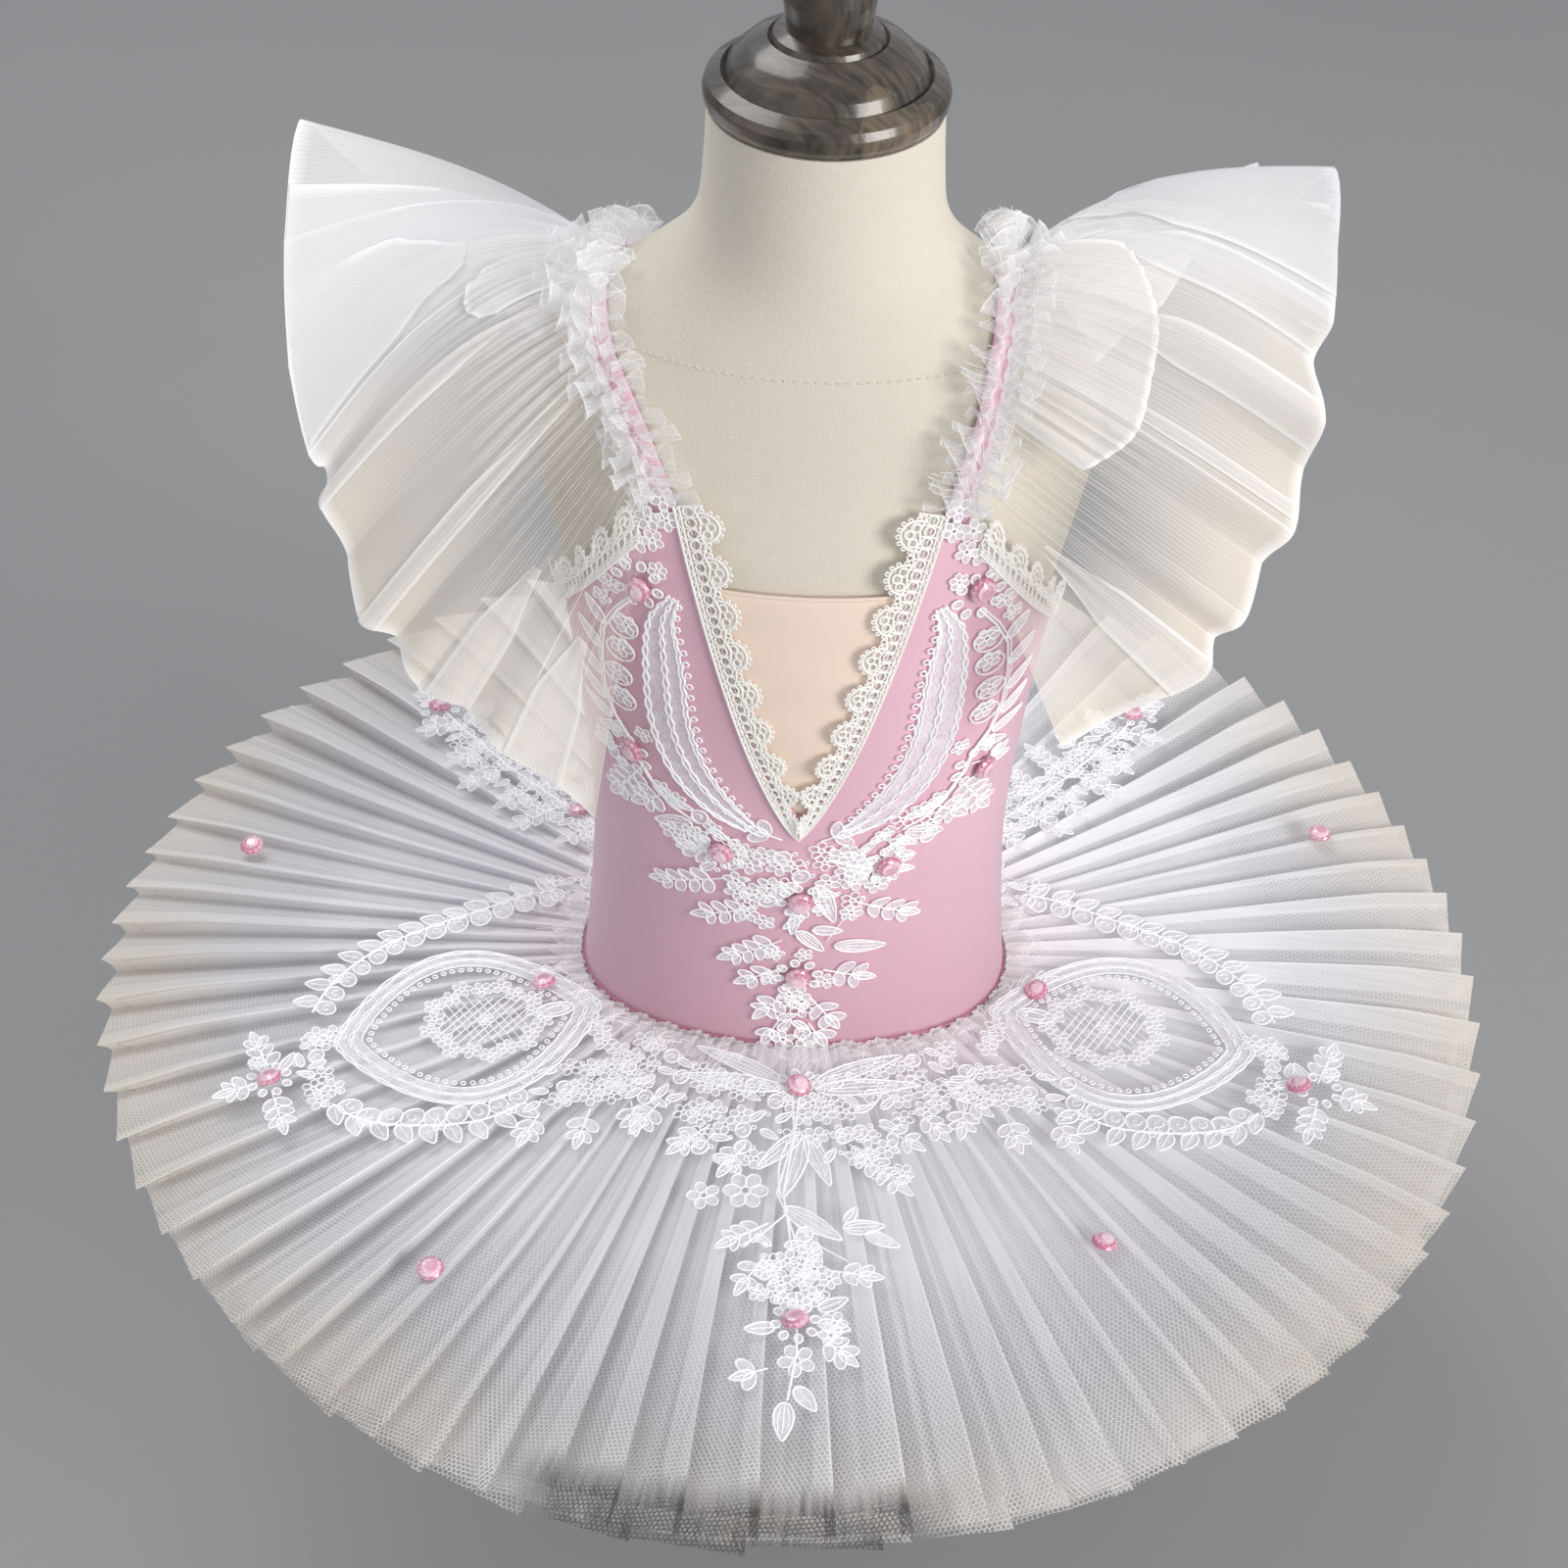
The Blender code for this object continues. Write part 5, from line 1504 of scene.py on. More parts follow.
# %% [markdown]
# ## Frills
# The strap is almost hidden by gathered net: two rows that stand towards the neck, two
# shorter ones towards the arm, and feathery ends. Each row is gathered at its seam and
# opens into loops at its edge, and no two loops reach as far. On the arm's side the
# rows stand taller a little past the shoulder.

# %% The frills on the straps
# Rows of a frill, from its seam out: share of the reach, and how doubled the net is
FRILL_ROWS = ((0.0, 0.6), (0.25, 0.2), (0.60, 0.0), (0.93, 0.0), (1.0, 0.9))
# A gathered row: to the arm (1) or the neck (-1), how many loops, how far they reach,
# how they tilt, and the part of the strap they cover
Gather = namedtuple("Gather", "to loops reach low_tilt high_tilt first last")
GATHERS = table(Gather,
    (-1, 40, 1.65, 8, 62, 0.10, 0.985), (-1, 30, 1.30, 40, 86, 0.12, 0.97),
    (1, 34, 1.35, 20, 76, 0.12, 0.98), (1, 26, 0.95, 56, 98, 0.12, 0.98))
LOOP_STEPS, FEATHERS, FEATHER_R = 8, 90, 0.012
# Where a row stands taller: how much, where along the strap, and over what spread
TALL_TO_ARM, TALL_TO_NECK = (0.55, 0.62, 0.12), (0.30, 0.70, 0.05)


def hump(share, more, middle, spread):
    return 1 + more * math.exp(-((share - middle) / spread) ** 2)


frills, feathers = [], []
for label, (side, frame_at) in SIDES.items():
    parts = []
    for row in GATHERS:
        columns = []
        for k in range(LOOP_STEPS * row.loops + 1):
            share = mix(row.first, row.last, k / (LOOP_STEPS * row.loops))
            p, normal, arm = frame_at(share)
            turn = 2 * math.pi * k / LOOP_STEPS + 0.5 * math.sin(0.37 * k)
            wave = math.sin(turn)
            tilt = math.radians(mix(row.low_tilt, row.high_tilt, wave / 2 + 0.5)
                                + 9 * math.sin(0.23 * k + row.loops))
            far = row.reach * (0.84 + 0.16 * math.sin(0.61 * k + row.reach)
                               + 0.14 * math.sin(0.17 * k + row.loops))
            if row.to > 0:
                far *= hump(share, *TALL_TO_ARM)
            elif side < 0:
                far *= hump(share, *TALL_TO_NECK)
            root = p + normal * 0.40 + arm * (0.14 * row.to + 0.06 * wave)
            way = normal * math.sin(tilt) + arm * row.to * math.cos(tilt)
            lean = arm.cross(normal) * (0.34 * math.sin(2 * turn) + 0.12 * wave)
            columns.append([root + way * far * s + lean * s ** 1.5
                            for s, _ in FRILL_ROWS])
        parts.append(cloth(
            "frill", columns, gathered_net, fanned=True,
            doubled=lambda c, r: max(FRILL_ROWS[r][1],
                                     0.35 if c % LOOP_STEPS == 2 else 0.0)))
    frill = joined("frill_" + label + "_net", parts)
    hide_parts("frill_" + label)
    frills.append(frill)
    for k in range(FEATHERS):
        share = mix(0.11, 0.97, (k + 0.6 * uneven(k, side)) / FEATHERS)
        p, normal, arm = frame_at(share)
        tilt = math.radians(48 + 34 * uneven(k, 2))
        far = 1.5 + 0.45 * uneven(k, 3)
        root = p + normal * 0.42 - arm * 0.15
        way = normal * math.sin(tilt) - arm * math.cos(tilt)
        lean = arm.cross(normal) * 0.35 * uneven(k, 4)
        feathers.append(([root, root + way * far * 0.6 + lean * 0.3,
                          root + way * far + lean], FEATHER_R, False))
cords("strap_threads", feathers, embroidery)
print("frills:", [len(piece.data.polygons) for piece in frills], "faces")

# %% [markdown]
# ## Guipure lace
# Guipure is a heavy cotton lace made of cords, rings and bars. It is sketched flat, in
# s along the trim and t across it, and then laid on the form. The outer side is a
# straight braid of two cords with a zigzag between them. Then comes a row of rings, a
# wavy cord, and a row of scallops set apart: each is an arch over three rings, edged
# with tiny picot loops. A close cotton ground with small holes ties it together.

# %% A flat sketch of the lace
def arc(middle, across, along, first, last, steps):
    """Points of an arc of an ellipse; angles in degrees, 90 pointing across the trim."""
    turns = [math.radians(mix(first, last, k / steps)) for k in range(steps + 1)]
    return [Vector((middle[0] + along * math.cos(a), middle[1] + across * math.sin(a)))
            for a in turns]


BRAID, SCALLOP = 0.20, 0.34      # width of the braid; half a scallop, in steps
FLAT_CORD, RINGS_IN_ARCH = 0.05, ((30, 0.56), (90, 0.54), (150, 0.56))
PICOT_TURNS = [12 + 22 * k for k in range(8)]


def lace_parts(length, width, pitch):
    """How many scallops fit, their step, and where their arches spring from."""
    count = max(2, round(length / pitch))
    return count, length / count, BRAID + 0.36 * width


def guipure(length, width, pitch):
    """Cords of a lace trim, flat: a list of (points, radius, closed)."""
    count, step, spring = lace_parts(length, width, pitch)
    deep = width - spring - 0.12
    fine = 8 * count
    drawn = []
    for t, radius, wave in ((0.04, 0.055, 0.0), (BRAID, 0.045, 0.0), (spring, 0.06, 0.06)):
        drawn.append(([Vector((length * k / fine, t + wave * math.sin(math.pi * k / 2)))
                       for k in range(fine + 1)], radius, False))
    drawn.append(([Vector((length * k / fine, 0.06 if k % 2 else BRAID - 0.03))
                   for k in range(fine + 1)], 0.035, False))
    room = (spring - BRAID) / 2
    for k in range(4 * count):
        ring = Vector(((k + 0.5) * step / 4, BRAID + room))
        drawn.append((arc(ring, room * 0.66, room * 0.74, 0, 315, 8), 0.045, True))
        drawn.append(([ring + Vector((step / 8, -room)), ring + Vector((step / 8, room))],
                      0.04, False))
    for n in range(count):
        middle = Vector(((n + 0.5) * step, spring))
        drawn.append((arc(middle, deep, step * SCALLOP, -8, 188, 16), 0.065, False))
        for angle, far in RINGS_IN_ARCH:
            spot = arc(middle, deep * far, step * SCALLOP * far, angle, angle, 1)[0]
            drawn.append((arc(spot, 0.15, 0.16, 0, 315, 8), 0.055, True))
        for angle in PICOT_TURNS:
            spot = arc(middle, deep, step * SCALLOP, angle, angle, 1)[0]
            out = (spot - middle).normalized()
            drawn.append((arc(spot + out * 0.08, 0.075, 0.075, 0, 288, 5), 0.04, True))
        drawn.append((arc(middle + Vector((step / 2, 0.10)), 0.10, 0.10, 0, 315, 8),
                      0.045, True))
    return drawn


def laid(name, drawn, place, level, mat):
    """Lays flat cords on a surface: place(s, t, level) gives the point, in cm."""
    return cords(name, [([place(p.x, p.y, level) for p in points], radius, closed)
                        for points, radius, closed in drawn], mat)


def ground(name, length, width, pitch, place):
    """The close cotton ground below the cords, scalloped like them."""
    count, step, spring = lace_parts(length, width, pitch)
    points = []
    for k in range(12 * count + 1):
        s = length * k / (12 * count)
        off = abs(s / step % 1 - 0.5) / SCALLOP
        far = spring + (width - spring - 0.16) * math.sqrt(max(0.0, 1 - off ** 2))
        points.append([place(s, mix(0.06, far, r / 6), 0.0) for r in range(7)])
    return cloth(name, points, lace_ground)


# %% [markdown]
# The neck lace follows the edge of the V, from the point up to the strap, with its
# scallops to the inside, where they stand off the insert a little. Near the point there
# is less room, so it is pressed narrower, and it widens at the strap. The side lace
# follows the armhole, scallops up, and ripples.

# %% Lace at the neck and the armholes
BRAID_LOW_Z, BRAID_TOP_Z, BRAID_HALF_W, LACE_W = 44.4, 58.9, 5.0, 1.45
NARROW, WIDER = 0.9, 0.35                # at the point of the V, and more at the strap
STAND_OFF, STAND_WAVE = 0.16, 0.07       # how the scallops lift off the insert
SIDE_LACE_W, SIDE_DOWN, SIDE_UP, SIDE_RIPPLE = 1.8, 0.62, 0.98, 0.10


def braid_point(share):
    return Vector((BRAID_HALF_W * share ** V_CURVE, mix(BRAID_LOW_Z, BRAID_TOP_Z, share)))


edge = [braid_point((k / 80) ** 1.3) for k in range(81)]
edge_run = running(edge)


def along_edge(s, line, run):
    """The point at this length along a line, and the line's direction there."""
    i, part = locate(run, min(max(s, 0.0), run[-1] - 1e-4))
    return line[i].lerp(line[i + 1], part), (line[i + 1] - line[i]).normalized()


def neck_place(side):
    def place(s, t, level):
        p, way = along_edge(s, edge, edge_run)
        inward = left_of(way)
        room = (p.x - 0.02) / max(-inward.x, 0.05)
        wide = min(NARROW + WIDER * (s / edge_run[-1]) ** 2, room / LACE_W)
        q = p + inward * t * wide
        lift = STAND_OFF + STAND_WAVE * math.sin(3.1 * s + 1.3 * side)
        ripple = lift * (t / LACE_W) ** 2
        return on_form_at(side * max(q.x, 0.01), q.y, TRIM_IN + 0.03 + level + ripple)
    return place


hole_line = [Vector(armhole(mix(0.045, 0.965, k / 60))) for k in range(61)]
hole_run = running([on_form(p.x, p.y) for p in hole_line])


def side_place(side):
    def place(s, t, level):
        s = min(max(s, 0.0), hole_run[-1] - 1e-4)
        p, _ = along_edge(s, hole_line, hole_run)
        ripple = SIDE_RIPPLE * math.sin(2.6 * s + side) * t / 1.9
        return on_form(side * p.x, p.y - SIDE_DOWN + t * SIDE_UP,
                       TRIM_IN + 0.08 + level + ripple)
    return place


for label, (side, _) in SIDES.items():
    for kind, length, width, pitch, place in (
            ("neck", edge_run[-1], LACE_W, 1.8, neck_place(side)),
            ("side", hole_run[-1], SIDE_LACE_W, 1.5, side_place(side))):
        name = kind + "_lace_" + label
        cotton_cords = laid(name + "_cords", guipure(length, width, pitch), place,
                            FLAT_CORD, cotton)
        base = ground(name + "_ground", length, width, pitch, place)
        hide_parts(name)
print("lace:", round(edge_run[-1], 1), "cm at each side of the V,",
      round(hole_run[-1], 1), "cm at each armhole")

# %% [markdown]
# ## Corded applique
# The white applique is embroidered on organza and cut out along its cords. It is made
# of a few traditional motifs, each drawn flat and small: a pointed leaf with a vein, a
# round bud with a curl, a flower of five loops, a sprig whose petals overlap in pairs,
# a picot edge and a satin-stitched band. A sketch collects cords and petals; a petal is
# a disc that is pushed into its outline. Then the whole sketch is laid on the bodice or
# over the skirt's folds. Angles are in degrees, from the direction of x.

# %% Motifs
HALO_R = 0.578               # just outside a stone


def heading(angle):
    a = math.radians(angle)
    return Vector((math.cos(a), math.sin(a)))


def stepped(path, gap, first):
    """Even steps along a path: the smooth line, then each point and the way it heads."""
    line = smooth_line([Vector(p) for p in path], 6)
    run = running(line)
    return line, [along_edge(min(k * gap + first, run[-1] - 0.01), line, run)
                  for k in range(int(run[-1] / gap) + 1)]


class Sketch:
    """Flat embroidery, in cm: cords, petals and bands."""

    def __init__(self):
        self.cords, self.petals, self.bands = [], [], []

    def cord(self, points, radius=0.05, closed=False):
        self.cords.append(([Vector(p) for p in points], radius, closed))

    def petal(self, root, angle, length, width, point, fill=True, radius=0.046):
        """A leaf or petal from its root; a higher `point` makes a sharper tip."""
        way = heading(angle)
        side = left_of(way)
        steps = 10 if length < 0.7 else 14
        outline = []
        for k in range(steps):
            a = 2 * math.pi * k / steps
            far = (1 - math.cos(a)) / 2
            outline.append(Vector(root) + way * length * far
                           + side * math.sin(a) * width / 2 * (1 - point * far ** 2))
        self.cord(outline, radius, True)
        if fill:
            self.petals.append(outline)
        return Vector(root) + way * length

    def leaf(self, root, angle, length, width):
        tip = self.petal(root, angle, length, width, 0.6)
        self.cord([Vector(root).lerp(tip, s) for s in (0.05, 0.45, 0.8)], 0.025)
        if length > 1.4:
            side = heading(angle + 90) * width * 0.26
            for way in (-1, 1):
                self.cord([Vector(root).lerp(tip, 0.12) + side * way * 0.5,
                           Vector(root).lerp(tip, 0.45) + side * way,
                           Vector(root).lerp(tip, 0.75) + side * way * 0.7], 0.022)

    def bud(self, root, angle, size):
        """A round petal with a curl of cord inside."""
        self.petal(root, angle, size, size * 0.84, 0.05)
        middle = Vector(root) + heading(angle) * size * 0.55
        self.cord([middle + heading(angle + 52 * k) * size * (0.06 + 0.045 * k)
                   for k in range(6)], 0.028)

    def flower(self, middle, size, petals=5, turn=0.0, fill=True):
        for k in range(petals):
            a = turn + 360 * k / petals
            self.petal(Vector(middle) + heading(a) * size * 0.12, a, size * 0.42,
                       size * 0.36, 0.0, fill, 0.032)
        self.ring(middle, size * 0.11, 0.032)

    def ring(self, middle, size, radius=0.034, steps=7):
        self.cord([Vector(middle) + heading(360 * k / steps) * size
                   for k in range(steps)], radius, True)

    def halo(self, middle):
        """Eight small loops round a stone."""
        for angle in range(11, 371, 45):
            self.petal(Vector(middle) + heading(angle) * HALO_R, angle, 0.42, 0.34, 0.0)

    def sprig(self, root, angle, length, seed):
        """Petals in pairs along a stem, smaller to the end, with one leaf at the tip."""
        pairs = max(1, round((length - 0.85) / 0.60))
        p, stem = Vector(root), [Vector(root)]
        for k in range(pairs):
            p = p + heading(angle) * (length - 0.90) / pairs
            stem.append(p)
            big = 0.80 - 0.10 * k / pairs + 0.06 * uneven(k + seed, 1)
            for way in (-1, 1):
                lean = angle + way * (54 + 12 * uneven(k, seed + way))
                self.petal(p, lean, big, big * 0.60, 0.3 * ((k + seed) % 2), True, 0.038)
        self.leaf(p, angle, 0.98, 0.50)
        self.cord(stem, 0.042)

    def scatter(self, path, lines, gap, seed):
        """Small flowers, curls and rings strewn close along a path, in lines."""
        for k, (p, way) in enumerate(stepped(path, gap, 0.01)[1]):
            for n in range(lines):
                pick = uneven(3 * k + n, seed)
                off = (n - (lines - 1) / 2) * 0.86 + 0.16 * uneven(k, n + seed)
                spot = (p + left_of(way) * off
                        + way * (0.46 * (n % 2) + 0.14 * uneven(n, k + seed)))
                if pick > -0.35:
                    self.flower(spot, 0.92 + 0.08 * pick, 5, 70 * pick, pick > 0.3)
                elif pick > -0.7:
                    self.bud(spot - heading(200 * pick) * 0.35, 200 * pick, 0.78)
                else:
                    self.leaf(spot - heading(400 * pick) * 0.4, 400 * pick, 0.85, 0.42)
                self.ring(spot + way * 0.46 + Vector((0.0, 0.2)), 0.10)

    def garland(self, path, gap, seed):
        """Leaves on the left of a stem and curled buds on its right."""
        line, steps = stepped(path, gap, 0.1)
        self.cord(line, 0.06)
        for k, (p, way) in enumerate(steps):
            a = math.degrees(math.atan2(way.y, way.x))
            self.leaf(p, a + 52 + 16 * uneven(k, seed), 1.15, 0.80)
            self.bud(p + way * 0.2, a - 60 + 18 * uneven(k, seed + 1),
                     1.00 + 0.10 * uneven(k, 9))
            if k % 3 == 1:
                self.flower(p + way * 0.62, 0.62)

    def picots(self, line, gap, size):
        """Tiny loops in a row along a line."""
        run = running(line)
        for k in range(int(run[-1] / gap)):
            self.ring(along_edge((k + 0.5) * gap, line, run)[0], size, 0.04, 6)

    def band(self, first, second):
        """Close stitches that fill the strip between two lines."""
        self.bands.append((first, second))


CORD_LEVEL, PETAL_LEVEL, PETAL_EDGE_LEVEL, BAND_LEVEL = 0.075, 0.085, 0.045, 0.03


def stitched(name, sketch, place):
    """Lays a sketch on its surface: cords on top, petals and bands just below."""
    made = laid(name + "_cords", sketch.cords, place, CORD_LEVEL, embroidery)
    bm = bmesh.new()
    for outline in sketch.petals:
        ring = bmesh.ops.create_circle(bm, cap_ends=True, cap_tris=True, radius=1.0,
                                       segments=len(outline))["verts"]
        middle = sum(outline, Vector((0, 0))) / len(outline)
        for v in ring:
            if v.co.length < 0.5:
                v.co = place(middle.x, middle.y, PETAL_LEVEL) * CM
                continue
            k = round(math.atan2(v.co.x, v.co.y) / (2 * math.pi) * len(outline))
            p = outline[k % len(outline)]
            v.co = place(p.x, p.y, PETAL_EDGE_LEVEL) * CM
    for first, second in sketch.bands:
        before, faces_before = set(bm.verts), set(bm.faces)
        bmesh.ops.create_grid(bm, x_segments=len(first) - 1, y_segments=2, size=1.0)
        for face in set(bm.faces) - faces_before:
            face.material_index = 1
        for v in set(bm.verts) - before:
            k = round((v.co.x + 1) / 2 * (len(first) - 1))
            across = (v.co.y + 1) / 2
            p = first[k].lerp(second[k], across)
            swell = 0.02 * math.sin(math.pi * across)
            v.co = place(p.x, p.y, BAND_LEVEL + swell) * CM
    bm.normal_update()
    for face in bm.faces:
        middle = face.calc_center_median()
        if face.normal.dot(outward(middle) + up(0.5)) < 0:
            face.normal_flip()
    fill = show(name + "_organza", bm, organza)
    if sketch.bands:
        fill.data.materials.append(sheer_band)
    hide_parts(name)
    return made, fill


print("motifs:", [k for k in vars(Sketch) if not k.startswith("_")])

# %% [markdown]
# On the bodice a motif is placed by its distance from the centre line and its height.
# On the skirt it is placed by x and y, and lies just over the highest folds. The
# placements are short tables: a row for each sprig, flower or leaf.

# %% Where applique lies
Sprig = namedtuple("Sprig", "x y angle length")
Flower = namedtuple("Flower", "x y size")
Leaf = namedtuple("Leaf", "x y angle length width")


def arrange(sketch, sprigs=(), flowers=(), leaves=(), halos=()):
    """Draws what the tables say; the flowers turn a little from one to the next."""
    for n, row in enumerate(sprigs):
        sketch.sprig((row.x, row.y), row.angle, row.length, n)
    for n, row in enumerate(flowers):
        sketch.flower((row.x, row.y), row.size, 5 if n % 3 else 6, 37 * n)
    for row in leaves:
        sketch.leaf((row.x, row.y), row.angle, row.length, row.width)
    for spot in halos:
        sketch.halo(spot)
    return sketch


def bodice_place(side):
    return lambda a, b, level: on_form_at(side * a, b, TRIM_IN - 0.03 + level)


def crest_height(x, y):
    """Height just over the top layer's folds at x, y."""
    layer = LAYERS[0]
    target, radius = math.atan2(x, -y), math.hypot(x, y)
    turn = math.degrees(target)
    for _ in range(4):
        start, end = skirt_line(layer, turn)
        inner = math.hypot(start.x, start.y)
        spot = start.lerp(end, (radius - inner) / (layer.radius - inner))
        turn += math.degrees(target - math.atan2(spot.x, -spot.y))
    return spot.z + layer.rise * TALLEST * radius / layer.radius / 2 + 0.08


def skirt_place(side):
    shift = math.radians(4.5 if side > 0 else 0.0)

    def place(a, b, level):
        x = side * a if side else a
        spot = (x * math.cos(shift) - b * math.sin(shift),
                x * math.sin(shift) + b * math.cos(shift))
        return Vector((*spot, crest_height(*spot) - 0.02 + level))

    return place


# %% [markdown]
# The spray on the bodice front hangs from the point of the V: arms of petals to both
# sides, shorter as they go down, with small flowers and long leaves where they meet.

# %% Bodice spray
spray = arrange(
    Sketch(),
    table(Sprig, (-2.9, 41.5, 209, 3.3), (-1.5, 40.1, 206, 2.9), (-0.5, 38.3, 213, 3.0),
         (-0.4, 36.7, 213, 2.3), (-0.4, 35.0, 233, 1.9), (-0.5, 33.5, 246, 1.6),
         (1.5, 43.0, -20, 3.2), (2.4, 40.5, -31, 2.9), (1.2, 36.6, -20, 2.2),
         (0.7, 35.0, -58, 2.3), (0.7, 33.4, -62, 1.6), (-2.9, 42.7, 172, 1.9),
         (-0.6, 44.3, 160, 1.5), (0.9, 44.3, 22, 1.5)),
    table(Flower, (-1.9, 39.7, .9), (-1.2, 39.3, .8), (1.3, 35.9, .8), (-0.9, 36.1, .8),
         (-0.8, 37.5, .8), (0.4, 37.5, .7), (2.2, 39.9, .9), (1.0, 40.2, .7)),
    table(Leaf, (0.8, 41.7, -72, 2.4, .85), (0.0, 41.8, 226, 1.8, .75),
         (1.6, 38.0, -10, 2.1, .8), (0.1, 38.9, -48, 1.6, .65), (0.7, 39.0, -8, 1.2, .6),
         (0.0, 39.9, -96, 1.2, .5), (0.3, 39.8, -134, 1.1, .45)),
    ((0.2, 40.7), (0.2, 36.2), (-2.95, 43.1), (3.5, 42.5)))
spray.scatter([(-4.4, 44.0), (-2.6, 42.6), (-0.4, 42.6)], 3, 0.9, 1)
spray.scatter([(0.6, 43.1), (2.4, 42.6), (4.6, 44.2)], 3, 0.9, 2)
spray.scatter([(-2.2, 41.2), (-1.1, 40.2)], 2, 0.85, 3)
spray.scatter([(1.6, 41.6), (2.7, 41.0)], 2, 0.85, 4)
spray.scatter([(0.15, 35.3), (0.1, 33.8), (0.15, 32.2)], 2, 0.72, 5)
spray.cord([(1.3, 38.3), (1.8, 39.3), (2.3, 40.3)], 0.03)
stitched("applique_bodice_centre", spray, bodice_place(1))
print("bodice spray:", len(spray.cords), "cords,", len(spray.petals), "petals")

# %% [markdown]
# A crescent curves along each side of the V: a wavy cord, a band, a doubled cord, a
# second band, a cord and a row of picots. Beyond it a stem comes down from the
# shoulder stone, with pointed leaves outside and lacy flowers inside.

# %% Crescents and side sprigs
CRESCENT = [(4.80, 55.2, 0.25), (5.15, 54.1, 0.62), (5.05, 52.8, 0.92),
            (4.90, 51.3, 1.05), (4.75, 49.8, 1.10), (4.40, 48.3, 1.12),
            (3.75, 46.9, 1.08), (2.80, 45.7, 0.80), (1.75, 44.8, 0.36)]


def crescent_line(share):
    """One of the crescent's lines, from its inner edge (-1) to its outer edge (1)."""
    stops = []
    for i, (x, z, half) in enumerate(CRESCENT):
        before, after = CRESCENT[max(i - 1, 0)], CRESCENT[min(i + 1, 8)]
        way = Vector((after[0] - before[0], after[1] - before[1])).normalized()
        stops.append(Vector((x, z)) + left_of(way) * half * share)
    return smooth_line(stops, 8)


def wavy(line, deep, often):
    """The line with a small wave in it, as a cord has that is sewn down by hand."""
    return [p + Vector((deep * math.sin(often * k), deep * 0.4 * math.cos(often * k)))
            for k, p in enumerate(line)]


SIDE_STEM = [(6.3, 54.8), (7.0, 53.8), (7.5, 52.6), (7.6, 51.1), (7.5, 49.5), (7.1, 48.3),
             (6.5, 47.5), (6.2, 46.6), (5.7, 45.8), (4.9, 44.8), (4.0, 44.4)]
for label, (side, _) in SIDES.items():
    moon = Sketch()
    outer, middle, inner = (crescent_line(share) for share in (1.0, 0.28, -0.45))
    for share, deep, radius in ((1.0, 0.055, 0.055), (0.86, -0.045, 0.04),
                                (0.28, 0.05, 0.045), (0.14, -0.05, 0.045),
                                (-0.34, 0.03, 0.04), (-0.48, 0.05, 0.05)):
        moon.cord(wavy(crescent_line(share), deep, 1.9), radius)
    moon.band(outer, middle)
    moon.band(middle, inner)
    moon.picots(crescent_line(-0.66), 0.50, 0.12)
    stitched("applique_crescent_" + label, moon, bodice_place(side))

    climb = arrange(
        Sketch(),
        table(Sprig, (6.1, 46.2, -66, 3.0), (6.5, 46.8, -30, 1.7), (5.2, 45.3, -48, 1.9)),
        table(Flower, (6.67, 53.3, .9), (6.85, 52.1, .85), (6.95, 50.7, .85),
             (6.8, 49.6, .85), (7.3, 54.9, .8), (7.6, 54.1, .7), (5.5, 56.2, .7),
             (5.3, 45.6, .7), (4.7, 45.3, .7), (3.9, 43.7, .8), (3.3, 44.3, .7),
             (6.0, 48.1, .7), (7.0, 47.6, .7), (5.35, 59.1, .9), (5.9, 58.2, .9),
             (5.2, 58.3, .8), (6.3, 57.2, .9), (5.7, 57.4, .8), (6.9, 56.3, .8)),
        table(Leaf, (7.50, 52.8, 52, 1.2, .58), (7.65, 51.4, 44, 1.25, .6),
             (7.65, 50.0, 42, 1.2, .58), (7.50, 48.8, 36, 1.2, .58),
             (7.2, 48.1, 2, 1.2, .55), (6.9, 47.7, -34, 1.1, .5),
             (4.1, 44.2, -22, 1.6, .85), (5.6, 45.6, 214, 1.3, .5),
             (5.2, 45.2, 190, 1.2, .45)),
        ((6.25, 55.4), (6.7, 46.6)))
    for x, z in ((6.62, 53.2), (6.75, 52.0), (6.85, 50.7), (6.7, 49.5)):
        climb.petal((x + 0.62, z - 0.35), 150, 1.15, 0.95, 0.0, False, 0.042)
    climb.cord(SIDE_STEM, 0.06)
    climb.cord([(x + 0.12, z + 0.04) for x, z in SIDE_STEM], 0.045)
    stitched("applique_side_" + label, climb, bodice_place(side))
print("crescents and side sprigs are done")

# %% [markdown]
# Each side of the skirt has a pointed oval: three cords with satin-stitched bands
# between them, picots inside, a wreath of tiny flowers round a crossed lattice, and a
# large leaf at the waist end. Garlands of leaves run round it, one above and one below,
# and a lacy cluster joins it to the outer stone.

# %% Ovals on the skirt
OVAL_INNER, OVAL_OUTER, OVAL_HALF = Vector((8.3, -4.6)), Vector((19.7, -7.3)), 4.8
OVAL_STEPS = 60
WREATH = Vector((13.3, -5.6))


def oval_line(inset):
    """The pointed oval, moved in by this many cm, from inner to outer end and back."""
    way, length = (OVAL_OUTER - OVAL_INNER).normalized(), (OVAL_OUTER - OVAL_INNER).length
    across = left_of(way)
    line = []
    for k in range(2 * OVAL_STEPS):
        share = k / OVAL_STEPS if k <= OVAL_STEPS else 2 - k / OVAL_STEPS
        eased = 0.5 - 0.5 * math.cos(math.pi * share)
        half = max(OVAL_HALF - inset, 0.3) * math.sin(math.pi * eased) ** 0.75
        middle = OVAL_INNER + way * mix(inset * 1.25, length - inset * 1.25, eased)
        line.append(middle + across * half * (1 if k <= OVAL_STEPS else -1))
    return line


